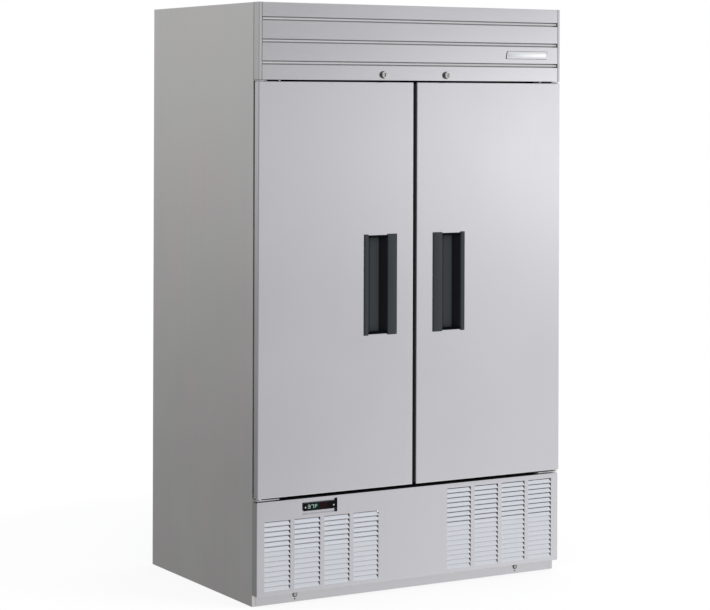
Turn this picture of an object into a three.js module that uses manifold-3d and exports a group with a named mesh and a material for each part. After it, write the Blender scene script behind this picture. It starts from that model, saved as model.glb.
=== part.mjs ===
// Two-door reach-in refrigerator with a louvred machine compartment under the doors.
// Millimetres, +Z up, front faces -Y, left is -X. The origin is at floor level on the centre
// line, midway in depth between the lock faces and the cabinet back.
import * as THREE from 'three';
import { mergeVertices } from 'three/addons/utils/BufferGeometryUtils.js';
import Module from 'manifold-3d';

const wasm = await Module();
wasm.setup();

// ---- driving dimensions: *_X half widths or places, *_Y and *_Z planes -----------------
const WIDTH = 1206;
const HEIGHT = 1988;
const CABINET_DEPTH = 766;
const PROUD = 38;                        // doors and header stand ahead of the cabinet
const LOCK_PROUD = 10;                   // lock plugs stand ahead of the doors
const SHEET = 1.5;                       // sheet steel
const GAP = 0.375;                       // air between neighbouring pieces
const SEAT_GAP = 0.4;                    // air behind front fittings and under mounted parts

const FRONT_Y = -(CABINET_DEPTH + PROUD - LOCK_PROUD) / 2; // face of doors and header
const CASE_Y = FRONT_Y + PROUD;          // cabinet front plane
const BACK_Y = CASE_Y + CABINET_DEPTH;   // cabinet back plane
const SIDE_X = WIDTH / 2;
const RETURN = 14;                       // returns at the front and back of the side panels
const INNER_X = SIDE_X - SHEET - GAP;    // just inside the side sheets
const INFILL_X = SIDE_X - RETURN - GAP;  // just inside the returns

const FLOOR_Z = 345;                     // underside of the insulated box
const OPEN_X = 563;                      // door opening
const OPEN_Z0 = 395;
const OPEN_Z1 = 1690;
const CAVITY_X = 553;
const CAVITY_Y0 = CASE_Y + 2.2;
const CAVITY_Y1 = BACK_Y - 52;
const CAVITY_Z0 = 398;
const CAVITY_Z1 = 1928;

const DOOR_X0 = 7;                       // free edge of the right door
const DOOR_Z0 = 358.25;
const DOOR_Z1 = 1727;
const DOOR_BACK_Y = FRONT_Y + 27;
const HEADER_Z0 = 1733;
const PANEL_Z0 = 37;                     // louvred lower panel
const PANEL_Z1 = 349.25;
const PANEL_Y = CASE_Y - 32;

const LOCK_X = 126;
const LOCK_Z = 1752;
const PIVOT_X = SIDE_X - 12;
const PIVOT_Y = FRONT_Y + 14;
const PIN_R = 5;

const DRAIN = { x: -300, y: CAVITY_Y1 - 22, radius: 11 };
const SUCTION = { x: 260, y: CAVITY_Y1 - 22, radius: 8 };

const SIDES = [{ name: 'left', sign: -1 }, { name: 'right', sign: 1 }];

// ---- finishes -------------------------------------------------------------------------
const STAINLESS = { color: 0xbfc1c4, roughness: 0.35, metalness: 0.9 };
const LINER = { color: 0xc9cbcd, roughness: 0.45, metalness: 0.85 };
const BLACK = { color: 0x1b1b1d, roughness: 0.5, metalness: 0.0 };
const GALVANISED = { color: 0x9aa0a4, roughness: 0.5, metalness: 0.8 };
const FOAM = { color: 0xd8cfa6, roughness: 0.95, metalness: 0.0 };
const RUBBER = { color: 0x2a2a2c, roughness: 0.8, metalness: 0.0 };
const PAINT = { color: 0x24262a, roughness: 0.5, metalness: 0.3 };
const ALUMINIUM = { color: 0xb8bcc0, roughness: 0.4, metalness: 0.9 };
const COPPER = { color: 0xb5713f, roughness: 0.35, metalness: 0.9 };
const WIRE = { color: 0xe6e6e2, roughness: 0.4, metalness: 0.1 };

// ---- geometry and solids --------------------------------------------------------------
const WELD = 0.002;                      // points closer than this become one
const STEPS = [-1, 0, 1];
const NEIGHBOURS = STEPS.flatMap((i) => STEPS.flatMap((j) => STEPS.map((k) => [i, j, k])));

// welds points through a grid of cells; places[n] is the welded index of position n
function weldPoints(position) {
  const cells = new Map();
  const points = [];
  const places = [];
  for (let n = 0; n < position.count; n++) {
    const point = new THREE.Vector3().fromBufferAttribute(position, n);
    const cell = point.toArray().map((value) => Math.floor(value / WELD));
    let place = NEIGHBOURS
      .flatMap((step) => cells.get(cell.map((c, axis) => c + step[axis]).join()) ?? [])
      .find((index) => points[index].distanceTo(point) < WELD);
    if (place === undefined) {
      place = points.length;
      points.push(point);
      cells.set(cell.join(), [...(cells.get(cell.join()) ?? []), place]);
    }
    places.push(place);
  }
  return { points, places };
}

function toSolid(shape) {
  if (!shape.isBufferGeometry) return shape;
  let geometry = shape.clone();
  geometry.deleteAttribute('normal');
  geometry.deleteAttribute('uv');
  geometry = mergeVertices(geometry, 1e-5);
  // a second weld closes the seam of a lathe
  const { points, places } = weldPoints(geometry.attributes.position);
  const triangles = [];
  for (let i = 0; i < geometry.index.count; i += 3) {
    const corners = [0, 1, 2].map((k) => places[geometry.index.getX(i + k)]);
    // a lathe's pole leaves flat triangles, which are skipped
    if (new Set(corners).size === 3) triangles.push(...corners);
  }
  return new wasm.Manifold(new wasm.Mesh({
    numProp: 3,
    vertProperties: new Float32Array(points.flatMap((point) => point.toArray())),
    triVerts: new Uint32Array(triangles),
  }));
}

function toGeometry(solid) {
  const mesh = solid.getMesh();
  const indexed = new THREE.BufferGeometry();
  const positions = new Float32Array(mesh.vertProperties);
  indexed.setAttribute('position', new THREE.BufferAttribute(positions, 3));
  indexed.setIndex(new THREE.BufferAttribute(new Uint32Array(mesh.triVerts), 1));
  const geometry = indexed.toNonIndexed();
  geometry.computeVertexNormals();
  return geometry;
}

const join = (...shapes) => shapes.flat().map(toSolid).reduce((a, b) => a.add(b));
const cut = (shape, ...tools) => (
  tools.flat().map(toSolid).reduce((a, b) => a.subtract(b), toSolid(shape)));

const root = new THREE.Group();
function add(name, shape, finish) {
  const geometry = shape.isBufferGeometry ? shape : toGeometry(shape);
  const mesh = new THREE.Mesh(geometry, new THREE.MeshStandardMaterial(finish));
  mesh.name = name;
  root.add(mesh);
}

// ---- basic shapes ---------------------------------------------------------------------
function box(x0, x1, y0, y1, z0, z1) {
  const geometry = new THREE.BoxGeometry(x1 - x0, y1 - y0, z1 - z0);
  return geometry.translate((x0 + x1) / 2, (y0 + y1) / 2, (z0 + z1) / 2);
}

// box centred on x = 0
const midBox = (halfX, ...yz) => box(-halfX, halfX, ...yz);

// x range given for the right side, mirrored when sign is -1
const span = (sign, x0, x1) => (sign < 0 ? [-x1, -x0] : [x0, x1]);
const sideBox = (sign, x0, x1, ...yz) => box(...span(sign, x0, x1), ...yz);

// cylinders along +Y and +Z; x, y, z is the centre of the starting face
function cylinderY(x, y, z, radius, length, segments = 24) {
  const geometry = new THREE.CylinderGeometry(radius, radius, length, segments);
  return geometry.translate(0, length / 2, 0).translate(x, y, z);
}

function cylinderZ(x, y, z, radius, length, segments = 24) {
  return cylinderY(0, 0, 0, radius, length, segments).rotateX(Math.PI / 2).translate(x, y, z);
}

const outline = (points) => new THREE.Shape(points.map(([u, v]) => new THREE.Vector2(u, v)));
const extrude = (points, depth) => (
  new THREE.ExtrudeGeometry(outline(points), { depth, bevelEnabled: false }));

// closed [y, z] outline extruded along X
function alongX(points, x0, x1) {
  const axes = new THREE.Matrix4().set(0, 0, 1, x0, 1, 0, 0, 0, 0, 1, 0, 0, 0, 0, 0, 1);
  return extrude(points, x1 - x0).applyMatrix4(axes);
}

// closed [x, y] outline, given for the right side, extruded along Z
function sideExtrusion(sign, points, z0, z1) {
  return extrude(points.map(([x, y]) => [sign * x, y]), z1 - z0).translate(0, 0, z0);
}

// plate facing Y with holes [x0, x1, z0, z1]
const plateXZ = (x0, x1, y0, y1, z0, z1, holes) => cut(
  box(x0, x1, y0, y1, z0, z1),
  holes.map(([a, b, c, d]) => box(a, b, y0 - 1, y1 + 1, c, d)),
);

// plate facing Z with holes [x0, x1, y0, y1]
const plateXY = (x0, x1, y0, y1, z0, z1, holes) => cut(
  box(x0, x1, y0, y1, z0, z1),
  holes.map(([a, b, c, d]) => box(a, b, c, d, z0 - 1, z1 + 1)),
);

// holes [x0, x1, z0, z1] in columns and rows
function slotGrid({ x, width, pitchX, columns, z, height, pitchZ, rows }) {
  const holes = [];
  for (let c = 0; c < columns; c++) {
    for (let r = 0; r < rows; r++) {
      const x0 = x + c * pitchX;
      const z0 = z + r * pitchZ;
      holes.push([x0, x0 + width, z0, z0 + height]);
    }
  }
  return holes;
}

// unit vector from one [u, v] point to another
function direction([u0, v0], [u1, v1]) {
  const length = Math.hypot(u1 - u0, v1 - v0);
  return [(u1 - u0) / length, (v1 - v0) / length];
}

// bent sheet: open [u, v] path thickened to its left, as a closed outline
function bentSheet(path, thickness) {
  const offset = path.map((point, i) => {
    const before = i > 0 ? direction(path[i - 1], point) : direction(point, path[1]);
    const after = i < path.length - 1 ? direction(point, path[i + 1]) : before;
    const dot = before[0] * after[0] + before[1] * after[1];
    const reach = thickness / (1 + dot);
    return [
      point[0] - (before[1] + after[1]) * reach,
      point[1] + (before[0] + after[0]) * reach,
    ];
  });
  return [...path, ...offset.reverse()];
}

// ---- cabinet --------------------------------------------------------------------------
// side panel: flat sheet with a short return at the front and at the back
for (const { name, sign } of SIDES) {
  const section = [
    [SIDE_X, CASE_Y], [SIDE_X, BACK_Y],
    [SIDE_X - RETURN, BACK_Y], [SIDE_X - RETURN, BACK_Y - SHEET],
    [SIDE_X - SHEET, BACK_Y - SHEET], [SIDE_X - SHEET, CASE_Y + SHEET],
    [SIDE_X - RETURN, CASE_Y + SHEET], [SIDE_X - RETURN, CASE_Y],
  ];
  add(`${name}_side_panel`, sideExtrusion(sign, section, 0, HEIGHT), STAINLESS);
}

// top sheet with a lip turned down at the front
const TOP_Y0 = CASE_Y + SHEET + GAP;
const LINING_Y1 = BACK_Y - SHEET - GAP;  // just ahead of the rear sheet
add('top_panel', join(
  midBox(INNER_X, TOP_Y0, LINING_Y1, HEIGHT - SHEET, HEIGHT),
  midBox(INNER_X, TOP_Y0, TOP_Y0 + SHEET, HEIGHT - 30, HEIGHT - SHEET),
), STAINLESS);

add('rear_panel', midBox(INFILL_X, BACK_Y - SHEET, BACK_Y, FLOOR_Z, HEIGHT), GALVANISED);

const GRILLE_SLOTS = {
  x: -480, width: 290, pitchX: 330, columns: 3,
  z: 70, height: 10, pitchZ: 30, rows: 8,
};
add('rear_grille', plateXZ(
  -INFILL_X, INFILL_X, BACK_Y - SHEET, BACK_Y, 22, FLOOR_Z - 4, slotGrid(GRILLE_SLOTS),
), GALVANISED);

// holes through the box floor for the drain tube and the suction line
const floorHoles = (clearance) => [DRAIN, SUCTION].map(({ x, y, radius }) => (
  cylinderZ(x, y, 300, radius + clearance, 140)));

const LINER_OUT = SHEET + GAP;           // cavity wall to foam
add('insulation', cut(
  midBox(INNER_X - 0.1, CASE_Y + 5, LINING_Y1, FLOOR_Z + 2, HEIGHT - 31),
  midBox(CAVITY_X + LINER_OUT, CASE_Y, CAVITY_Y1 + LINER_OUT,
    CAVITY_Z0 - LINER_OUT, CAVITY_Z1 + LINER_OUT),
  floorHoles(2.5),
), FOAM);

add('inner_liner', cut(
  midBox(CAVITY_X + SHEET, CAVITY_Y0, CAVITY_Y1 + SHEET, CAVITY_Z0 - SHEET, CAVITY_Z1 + SHEET),
  midBox(CAVITY_X, CAVITY_Y0 - 1, CAVITY_Y1, CAVITY_Z0, CAVITY_Z1),
  floorHoles(1.5),
), LINER);

// ring round the door opening that the gaskets seal on, closed above behind the header
const FRAME_LIP = 12;                    // overlap inside the opening at each side
add('face_frame', plateXZ(
  -INFILL_X, INFILL_X, CASE_Y, CASE_Y + SHEET, FLOOR_Z, HEIGHT - 32,
  [[-OPEN_X + FRAME_LIP, OPEN_X - FRAME_LIP, OPEN_Z0, OPEN_Z1]],
), LINER);

add('centre_mullion',
  midBox(38, CASE_Y, CASE_Y + 55, CAVITY_Z0 + GAP, OPEN_Z1 - GAP), LINER);

// ---- header ---------------------------------------------------------------------------
const TRIM_W = 11;
const GROOVES = { z: [1789, 1861, 1934], height: 12, depth: 8 };

// slot a lock cam passes through, in the header bottom and in the door top
const camSlot = (sign, z0, z1) => (
  sideBox(sign, LOCK_X - 38, LOCK_X + 9, FRONT_Y + 14, FRONT_Y + 21, z0, z1));

// bent panel with horizontal grooves in its face
function headerPanel() {
  const path = [[CASE_Y - 4.4, HEADER_Z0], [FRONT_Y, HEADER_Z0]];
  for (const z of GROOVES.z) {
    const half = GROOVES.height / 2;
    path.push(
      [FRONT_Y, z - half],
      [FRONT_Y + GROOVES.depth, z - half + 3],
      [FRONT_Y + GROOVES.depth, z + half - 1],
      [FRONT_Y, z + half],
    );
  }
  path.push([FRONT_Y, HEIGHT], [CASE_Y - GAP, HEIGHT]);
  const halfX = SIDE_X - TRIM_W - GAP;
  return cut(
    alongX(bentSheet(path.reverse(), SHEET), -halfX, halfX),
    SIDES.flatMap(({ sign }) => [
      cylinderY(sign * LOCK_X, FRONT_Y - 2, LOCK_Z, 9.4, 20),
      camSlot(sign, HEADER_Z0 - 1, HEADER_Z0 + 4),
    ]),
  );
}
add('header_panel', headerPanel(), STAINLESS);

// angle strip at each end of the header
for (const { name, sign } of SIDES) {
  const section = [
    [SIDE_X, CASE_Y - GAP], [SIDE_X, FRONT_Y],
    [SIDE_X - TRIM_W, FRONT_Y], [SIDE_X - TRIM_W, FRONT_Y + SHEET],
    [SIDE_X - SHEET, FRONT_Y + SHEET], [SIDE_X - SHEET, CASE_Y - GAP],
  ];
  add(`header_${name}_trim`, sideExtrusion(sign, section, HEADER_Z0, HEIGHT), STAINLESS);
}

add('badge_plaque',
  box(372, 550, FRONT_Y - 3.4, FRONT_Y - SEAT_GAP, 1812, 1838), ALUMINIUM);

// ---- locks ----------------------------------------------------------------------------
// cylinder on a lock's axis, starting y behind the door face
const lockCylinder = (sign, y, radius, length) => (
  cylinderY(sign * LOCK_X, FRONT_Y + y, LOCK_Z, radius, length));

// flanged barrel through the header
const lockBarrel = (sign) => cut(
  join(lockCylinder(sign, -9, 12, 8.6), lockCylinder(sign, -0.6, 8.8, 13.6)),
  lockCylinder(sign, -LOCK_PROUD, 6.6, 40),
);

// plug with a collar, a cam reaching towards the middle, and a key slot
const lockPlug = (sign) => cut(
  join(
    lockCylinder(sign, -LOCK_PROUD, 6.2, 29),
    lockCylinder(sign, 13.6, 8.4, 2.6),
    sideBox(sign, LOCK_X - 35, LOCK_X + 6, FRONT_Y + 16, FRONT_Y + 19, LOCK_Z - 6, LOCK_Z + 6),
  ),
  sideBox(sign, LOCK_X - 1, LOCK_X + 1, FRONT_Y - LOCK_PROUD - 1, FRONT_Y - 3.8,
    LOCK_Z - 4.2, LOCK_Z + 4.2),
);

for (const { name, sign } of SIDES) {
  add(`${name}_lock_barrel`, lockBarrel(sign), ALUMINIUM);
  add(`${name}_lock_plug`, lockPlug(sign), ALUMINIUM);
}

// ---- doors: written for the right door, hinged at x = SIDE_X, and mirrored for the left --
const DOOR_CAM_Z0 = DOOR_Z1 - 22;

// holes for the hinge pins, cut in from the bottom and the top of the door
const pinHoles = (sign, clearance, length) => [DOOR_Z0 - 1, DOOR_Z1 + 1 - length].map((z) => (
  cylinderZ(sign * PIVOT_X, PIVOT_Y, z, PIN_R + clearance, length)));

const HANDLE_X0 = 72.5;
const HANDLE_X1 = 201;
const HANDLE_Z0 = 874;
const HANDLE_Z1 = 1214;

// box within the handle's rectangle, inset all round
const handleBox = (sign, inset, y0, y1) => sideBox(
  sign, HANDLE_X0 + inset, HANDLE_X1 - inset, FRONT_Y + y0, FRONT_Y + y1,
  HANDLE_Z0 + inset, HANDLE_Z1 - inset,
);

// outer pan, open at the back
const doorSkin = (sign) => cut(
  sideBox(sign, DOOR_X0, SIDE_X, FRONT_Y, DOOR_BACK_Y, DOOR_Z0, DOOR_Z1),
  sideBox(sign, DOOR_X0 + SHEET, SIDE_X - SHEET, FRONT_Y + SHEET, DOOR_BACK_Y + 1,
    DOOR_Z0 + SHEET, DOOR_Z1 - SHEET),
  handleBox(sign, 8, -1, 4),
  pinHoles(sign, 1, 32),
  camSlot(sign, DOOR_CAM_Z0, DOOR_Z1 + 1),
);

// foamed core with the raised inner pan that plugs the opening
function doorCore(sign) {
  const inset = SHEET + GAP;
  const plugInset = 26;
  return cut(
    join(
      sideBox(sign, DOOR_X0 + inset, SIDE_X - inset, FRONT_Y + inset, DOOR_BACK_Y,
        DOOR_Z0 + inset, DOOR_Z1 - inset),
      sideBox(sign, 62, OPEN_X - plugInset, DOOR_BACK_Y - 1, DOOR_BACK_Y + 32,
        OPEN_Z0 + plugInset, OPEN_Z1 - plugInset),
    ),
    handleBox(sign, 5, 0, 37.5),
    pinHoles(sign, 1.6, 34),
    camSlot(sign, DOOR_CAM_Z0, DOOR_Z1 + 1),
  );
}

// gasket ring between the core and the face frame
function doorGasket(sign) {
  const width = 18;
  const [x0, x1] = span(sign, DOOR_X0 + 7, SIDE_X - 17);
  const z0 = DOOR_Z0 + 8;
  const z1 = DOOR_Z1 - 8;
  return plateXZ(x0, x1, DOOR_BACK_Y + GAP, CASE_Y - GAP, z0, z1,
    [[x0 + width, x1 - width, z0 + width, z1 - width]]);
}

// moulded pull: columns are x from HANDLE_X0 and y from the door face
const HANDLE_W = HANDLE_X1 - HANDLE_X0;
const HANDLE_SECTION = [
  // grip bar
  [0, -SEAT_GAP], [0, -7], [4, -9.5], [33, -9.5], [37, -7], [37, -3], [33, 2],
  // inside of the trough
  [26, 10], [30, 22], [46, 30], [70, 31], [92, 22],
  // rim on the hinge side
  [HANDLE_W - 16, -3.2], [HANDLE_W - 2, -3.2], [HANDLE_W, -SEAT_GAP],
  [HANDLE_W - 10, -SEAT_GAP], [HANDLE_W - 10.5, 4],
  // back of the trough
  [HANDLE_W - 31, 25], [72, 34.5], [44, 34.5], [14, 25], [9.5, 8], [9.5, -SEAT_GAP],
];
const HANDLE_END_WALL = [
  [12, -3.2], [HANDLE_W - 11, -3.2], [HANDLE_W - 11, 3], [HANDLE_W - 32, 24],
  [71, 33.5], [45, 33.5], [16, 24], [12, 8],
];

function doorHandle(sign) {
  const section = (points, z0, z1) => sideExtrusion(
    sign, points.map(([x, y]) => [HANDLE_X0 + x, FRONT_Y + y]), z0, z1);
  const rimBar = (z0, z1) => sideBox(
    sign, HANDLE_X0 + 3, HANDLE_X1 - 3, FRONT_Y - 3.2, FRONT_Y - SEAT_GAP, z0, z1);
  const moulding = join(
    section(HANDLE_SECTION, HANDLE_Z0, HANDLE_Z1),
    rimBar(HANDLE_Z0, HANDLE_Z0 + 14),
    rimBar(HANDLE_Z1 - 14, HANDLE_Z1),
    section(HANDLE_END_WALL, HANDLE_Z0 + 9, HANDLE_Z0 + 12),
    section(HANDLE_END_WALL, HANDLE_Z1 - 12, HANDLE_Z1 - 9),
  );
  // full size ahead of the door, trimmed to the recess behind its face
  const envelope = join(
    sideBox(sign, HANDLE_X0 - 1, HANDLE_X1 + 1, FRONT_Y - 20, FRONT_Y - SEAT_GAP,
      HANDLE_Z0, HANDLE_Z1),
    handleBox(sign, 9, -1, 60),
  );
  return moulding.intersect(envelope);
}

// hinge: plate in the gap, flange on the cabinet front, shoulder and pin; [z0, z1] ranges
function hinge(sign, { plate, flange, shoulder, pin }) {
  const x0 = SIDE_X - 84;
  const x1 = SIDE_X - 2;
  const post = ([z0, z1], radius) => (
    cylinderZ(sign * PIVOT_X, PIVOT_Y, z0, radius, z1 - z0, 20));
  return join(
    sideBox(sign, x0, x1, FRONT_Y + 6, CASE_Y - GAP, ...plate),
    sideBox(sign, x0, x1, CASE_Y - 3.4, CASE_Y - GAP, ...flange),
    post(shoulder, 9),
    post(pin, PIN_R),
  );
}
const BOTTOM_HINGE = {
  plate: [PANEL_Z1 + 1.4, PANEL_Z1 + 4.4],
  flange: [PANEL_Z1 - 32, PANEL_Z1 + 4.4],
  shoulder: [PANEL_Z1 + 4, DOOR_Z0 - SEAT_GAP],
  pin: [PANEL_Z1 + 4, PANEL_Z1 + 36],
};
const TOP_HINGE = {
  plate: [HEADER_Z0 - 4.2, HEADER_Z0 - 1.4],
  flange: [HEADER_Z0 - 4.2, HEADER_Z0 + 32],
  shoulder: [DOOR_Z1 + GAP, HEADER_Z0 - 4],
  pin: [DOOR_Z1 - 26, HEADER_Z0 - 4],
};

for (const { name, sign } of SIDES) {
  add(`${name}_door_skin`, doorSkin(sign), STAINLESS);
  add(`${name}_door_core`, doorCore(sign), LINER);
  add(`${name}_door_gasket`, doorGasket(sign), RUBBER);
  add(`${name}_door_handle`, doorHandle(sign), BLACK);
  add(`${name}_bottom_hinge`, hinge(sign, BOTTOM_HINGE), GALVANISED);
  add(`${name}_top_hinge`, hinge(sign, TOP_HINGE), GALVANISED);
}

// ---- lower front ----------------------------------------------------------------------
const PLINTH_H = 62;
const SCREW_X = 442;
const SCREW_Z = 24;

// kick plate with a ledge at the top and two holes, one above the other, near each end
add('plinth', cut(
  join(
    midBox(INFILL_X, CASE_Y, CASE_Y + SHEET, 0, PLINTH_H),
    midBox(INFILL_X, CASE_Y + SHEET - 0.1, CASE_Y + 16, PLINTH_H - SHEET, PLINTH_H),
  ),
  SIDES.flatMap(({ sign }) => [
    cylinderY(sign * SCREW_X, CASE_Y - 1, SCREW_Z, 3.4, 5, 12),
    cylinderY(sign * SCREW_X, CASE_Y - 1, 9, 2.5, 5, 12),
  ]),
), STAINLESS);

for (const { name, sign } of SIDES) {
  add(`plinth_screw_${name}`, join(
    cylinderY(sign * SCREW_X, CASE_Y - 3.4, SCREW_Z, 6, 3, 20),
    cylinderY(sign * SCREW_X, CASE_Y - 0.5, SCREW_Z, 3, 16, 12),
  ), GALVANISED);
}

// louvres of the right half; the left half has fewer rows, below the thermostat
const LOUVRES = {
  x: 138, width: 97, pitchX: 113, columns: 4,
  z: 60.5, height: 6, pitchZ: 16.5, rows: 17,
};
const LEFT_LOUVRE_ROWS = 14;
const THERMOSTAT = { x0: -441.5, x1: -298.5, z0: 292, z1: 338 }; // its opening in the panel

function lowerPanel() {
  const { x0, x1, z0, z1 } = THERMOSTAT;
  const leftLouvres = slotGrid({ ...LOUVRES, rows: LEFT_LOUVRE_ROWS })
    .map(([a, b, ...z]) => [-b, -a, ...z]);
  const holes = [...leftLouvres, ...slotGrid(LOUVRES), [x0, x1, z0, z1]];
  return join(
    plateXZ(-SIDE_X, SIDE_X, PANEL_Y, PANEL_Y + SHEET, PANEL_Z0, PANEL_Z1, holes),
    SIDES.map(({ sign }) => (
      sideBox(sign, SIDE_X - SHEET, SIDE_X, PANEL_Y, CASE_Y - GAP, PANEL_Z0, PANEL_Z1))),
    midBox(SIDE_X, PANEL_Y, CASE_Y - 5, PANEL_Z1 - SHEET, PANEL_Z1),
    midBox(SIDE_X, PANEL_Y, CASE_Y - 5, PANEL_Z0, PANEL_Z0 + SHEET),
  );
}
add('lower_panel', lowerPanel(), STAINLESS);

// thermostat: flanged housing, window in its recess, and a button at each end
function addThermostat() {
  const { x0, x1, z0, z1 } = THERMOSTAT;
  const y = PANEL_Y + SHEET + GAP;
  const buttons = { left: x0 + 21.5, right: x1 - 14 };
  const post = (x, y0, radius) => cylinderY(x, y + y0, (z0 + z1) / 2, radius, 14, 16);
  const bores = (y0) => Object.values(buttons).map((x) => post(x, y0, 3.2));
  // box inset from the opening
  const insetBox = (inset, y0, y1) => (
    box(x0 + inset, x1 - inset, y + y0, y + y1, z0 + inset, z1 - inset));

  add('thermostat_housing', cut(
    join(box(x0 - 8, x1 + 8, y, y + 2, z0 - 6, z1 + 5), insetBox(1, -1.6, 24)),
    insetBox(2.2, -5, 7),
    bores(5),
  ), BLACK);
  add('thermostat_window', cut(
    box(x0 + 7, x1 - 7, y + 2.6, y + 6.6, z0 + 10, z1 - 10),
    bores(1),
  ), BLACK);
  for (const [name, x] of Object.entries(buttons)) {
    add(`thermostat_button_${name}`, post(x, 1.2, 2.7), ALUMINIUM);
  }
}
addThermostat();

// ---- base and refrigeration cassette --------------------------------------------------
const TRAY = { x: 590, y0: CASE_Y + 30, y1: BACK_Y - 20, z0: 20.4, z1: 22.4 };
const MOUNT_Z = TRAY.z1 + SEAT_GAP;      // underside of parts standing on the tray

add('base_frame', plateXY(
  -INNER_X + 1, INNER_X - 1, CASE_Y + 18, BACK_Y - 2.4, 0, 20,
  [[-INNER_X + 41, INNER_X - 41, CASE_Y + 58, BACK_Y - 44]],
), GALVANISED);

add('unit_tray', join(
  midBox(TRAY.x, TRAY.y0, TRAY.y1, TRAY.z0, TRAY.z1),
  SIDES.map(({ sign }) => sideBox(sign, TRAY.x - 2, TRAY.x, TRAY.y0, TRAY.y1, 22, 42)),
), GALVANISED);

// compressor shell: columns are radius and height above its base
const SHELL_PROFILE = [
  [0, 0], [92, 0], [104, 14], [106, 90], [100, 98],
  [106, 106], [104, 150], [84, 184], [40, 196], [0, 198],
];

// turned shell on a mounting bar with two feet, and a box on its right side
function compressor() {
  const x = 260;
  const y = 60;
  const points = SHELL_PROFILE.map(([radius, z]) => new THREE.Vector2(radius, z));
  const shell = new THREE.LatheGeometry(points, 24).rotateX(Math.PI / 2).translate(x, y, 46);
  return join(
    shell,
    box(x - 130, x + 130, y - 30, y + 30, 34, 52),
    box(x - 115, x - 95, y - 25, y + 25, MOUNT_Z, 36),
    box(x + 95, x + 115, y - 25, y + 25, MOUNT_Z, 36),
    box(x + 92, x + 140, y - 30, y + 30, 90, 170),
  );
}
add('compressor', compressor(), PAINT);

// block between two end plates, with a column of tabs outside each plate
function coilParts({ x, halfX, y0, y1, z0, z1, blockInsetZ, tabs }) {
  const parts = [
    box(x - halfX + 2.5, x + halfX - 2.5, y0 + 4, y1 - 4, z0 + blockInsetZ, z1 - blockInsetZ),
  ];
  for (const { sign } of SIDES) {
    parts.push(sideBox(sign, halfX - 3, halfX, y0, y1, z0, z1).translate(x, 0, 0));
    for (let i = 0; i < tabs.count; i++) {
      const z = tabs.z + i * tabs.pitch;
      const tab = sideBox(sign, halfX - 0.5, halfX + tabs.reach,
        y0 + tabs.insetY, y1 - tabs.insetY, z, z + tabs.height);
      parts.push(tab.translate(x, 0, 0));
    }
  }
  return parts;
}

const CONDENSER = {
  x: -370, halfX: 190, y0: -318, y1: -264, z0: 56, z1: 300, blockInsetZ: 6,
  tabs: { count: 5, z: 80, pitch: 45, height: 8, reach: 11, insetY: 12 },
};
const CONDENSER_X0 = CONDENSER.x - CONDENSER.halfX;
const CONDENSER_X1 = CONDENSER.x + CONDENSER.halfX;
const CONDENSER_FAN_Z = (CONDENSER.z0 + CONDENSER.z1) / 2;
add('condenser_coil', join(coilParts(CONDENSER)), ALUMINIUM);

const condenserCylinder = (y, radius, length, segments) => (
  cylinderY(CONDENSER.x, y, CONDENSER_FAN_Z, radius, length, segments));

// front plate, side walls, bottom rail and a round fan collar
function fanShroud() {
  const { z0, z1 } = CONDENSER;
  const y0 = -263;
  const y1 = -225;
  return cut(
    join(
      box(CONDENSER_X0, CONDENSER_X1, y0, y0 + 2, z0, z1),
      box(CONDENSER_X0, CONDENSER_X0 + 2, y0 + 1, y1, z0, z1),
      box(CONDENSER_X1 - 2, CONDENSER_X1, y0 + 1, y1, z0, z1),
      condenserCylinder(y0, 114, 22, 32),
      box(CONDENSER_X0, CONDENSER_X1, y0, y1, MOUNT_Z, z0),
    ),
    condenserCylinder(-270, 110, 60, 32),
  );
}
add('condenser_fan_shroud', fanShroud(), PAINT);

// hub along +Y from the origin with four pitched blades, before it is moved to x, y, z
function fan({ x = 0, y = 0, z = 0, tipR, hubR, hubLength }) {
  const bladeCount = 4;
  const pitchAngle = 0.45;
  const blade = [[hubR - 3, -10], [tipR, -34], [tipR + 1, 20], [hubR - 3, 12]];
  const parts = [cylinderY(0, 0, 0, hubR, hubLength, 20)];
  for (let i = 0; i < bladeCount; i++) {
    parts.push(extrude(blade, 1.6)
      .rotateX(pitchAngle)
      .rotateX(-Math.PI / 2)
      .translate(0, hubLength / 2, 0)
      .rotateY((i / bladeCount) * 2 * Math.PI));
  }
  return join(parts.map((part) => part.translate(x, y, z)));
}
const SHAFT_R = 4;
const SHAFT_BORE_R = 4.6;

add('condenser_fan_blade', cut(
  fan({ x: CONDENSER.x, y: -258, z: CONDENSER_FAN_Z, tipR: 96, hubR: 20, hubLength: 22 }),
  condenserCylinder(-250, SHAFT_BORE_R, 40, 16),
), ALUMINIUM);

// shaft, motor body, post and foot
add('condenser_fan_motor', join(
  condenserCylinder(-246, SHAFT_R, 30, 16),
  condenserCylinder(-228, 36, 60, 24),
  box(CONDENSER.x - 8, CONDENSER.x + 8, -210, -180, 24, 150),
  box(CONDENSER.x - 40, CONDENSER.x + 40, -215, -175, MOUNT_Z, 26),
), PAINT);

add('condensate_pan', cut(
  box(-470, -120, 120, 340, 23, 70),
  box(-468, -122, 122, 338, 25, 71),
), GALVANISED);

// suction line: [y, z] stations from the compressor, back and up through the floor
const SUCTION_PATH = [
  [120, 246.5], [190, 285], [SUCTION.y - 34, 296], [SUCTION.y - 7, 304],
  [SUCTION.y, 320], [SUCTION.y, 380], [SUCTION.y, 900], [SUCTION.y, 1690],
];

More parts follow.
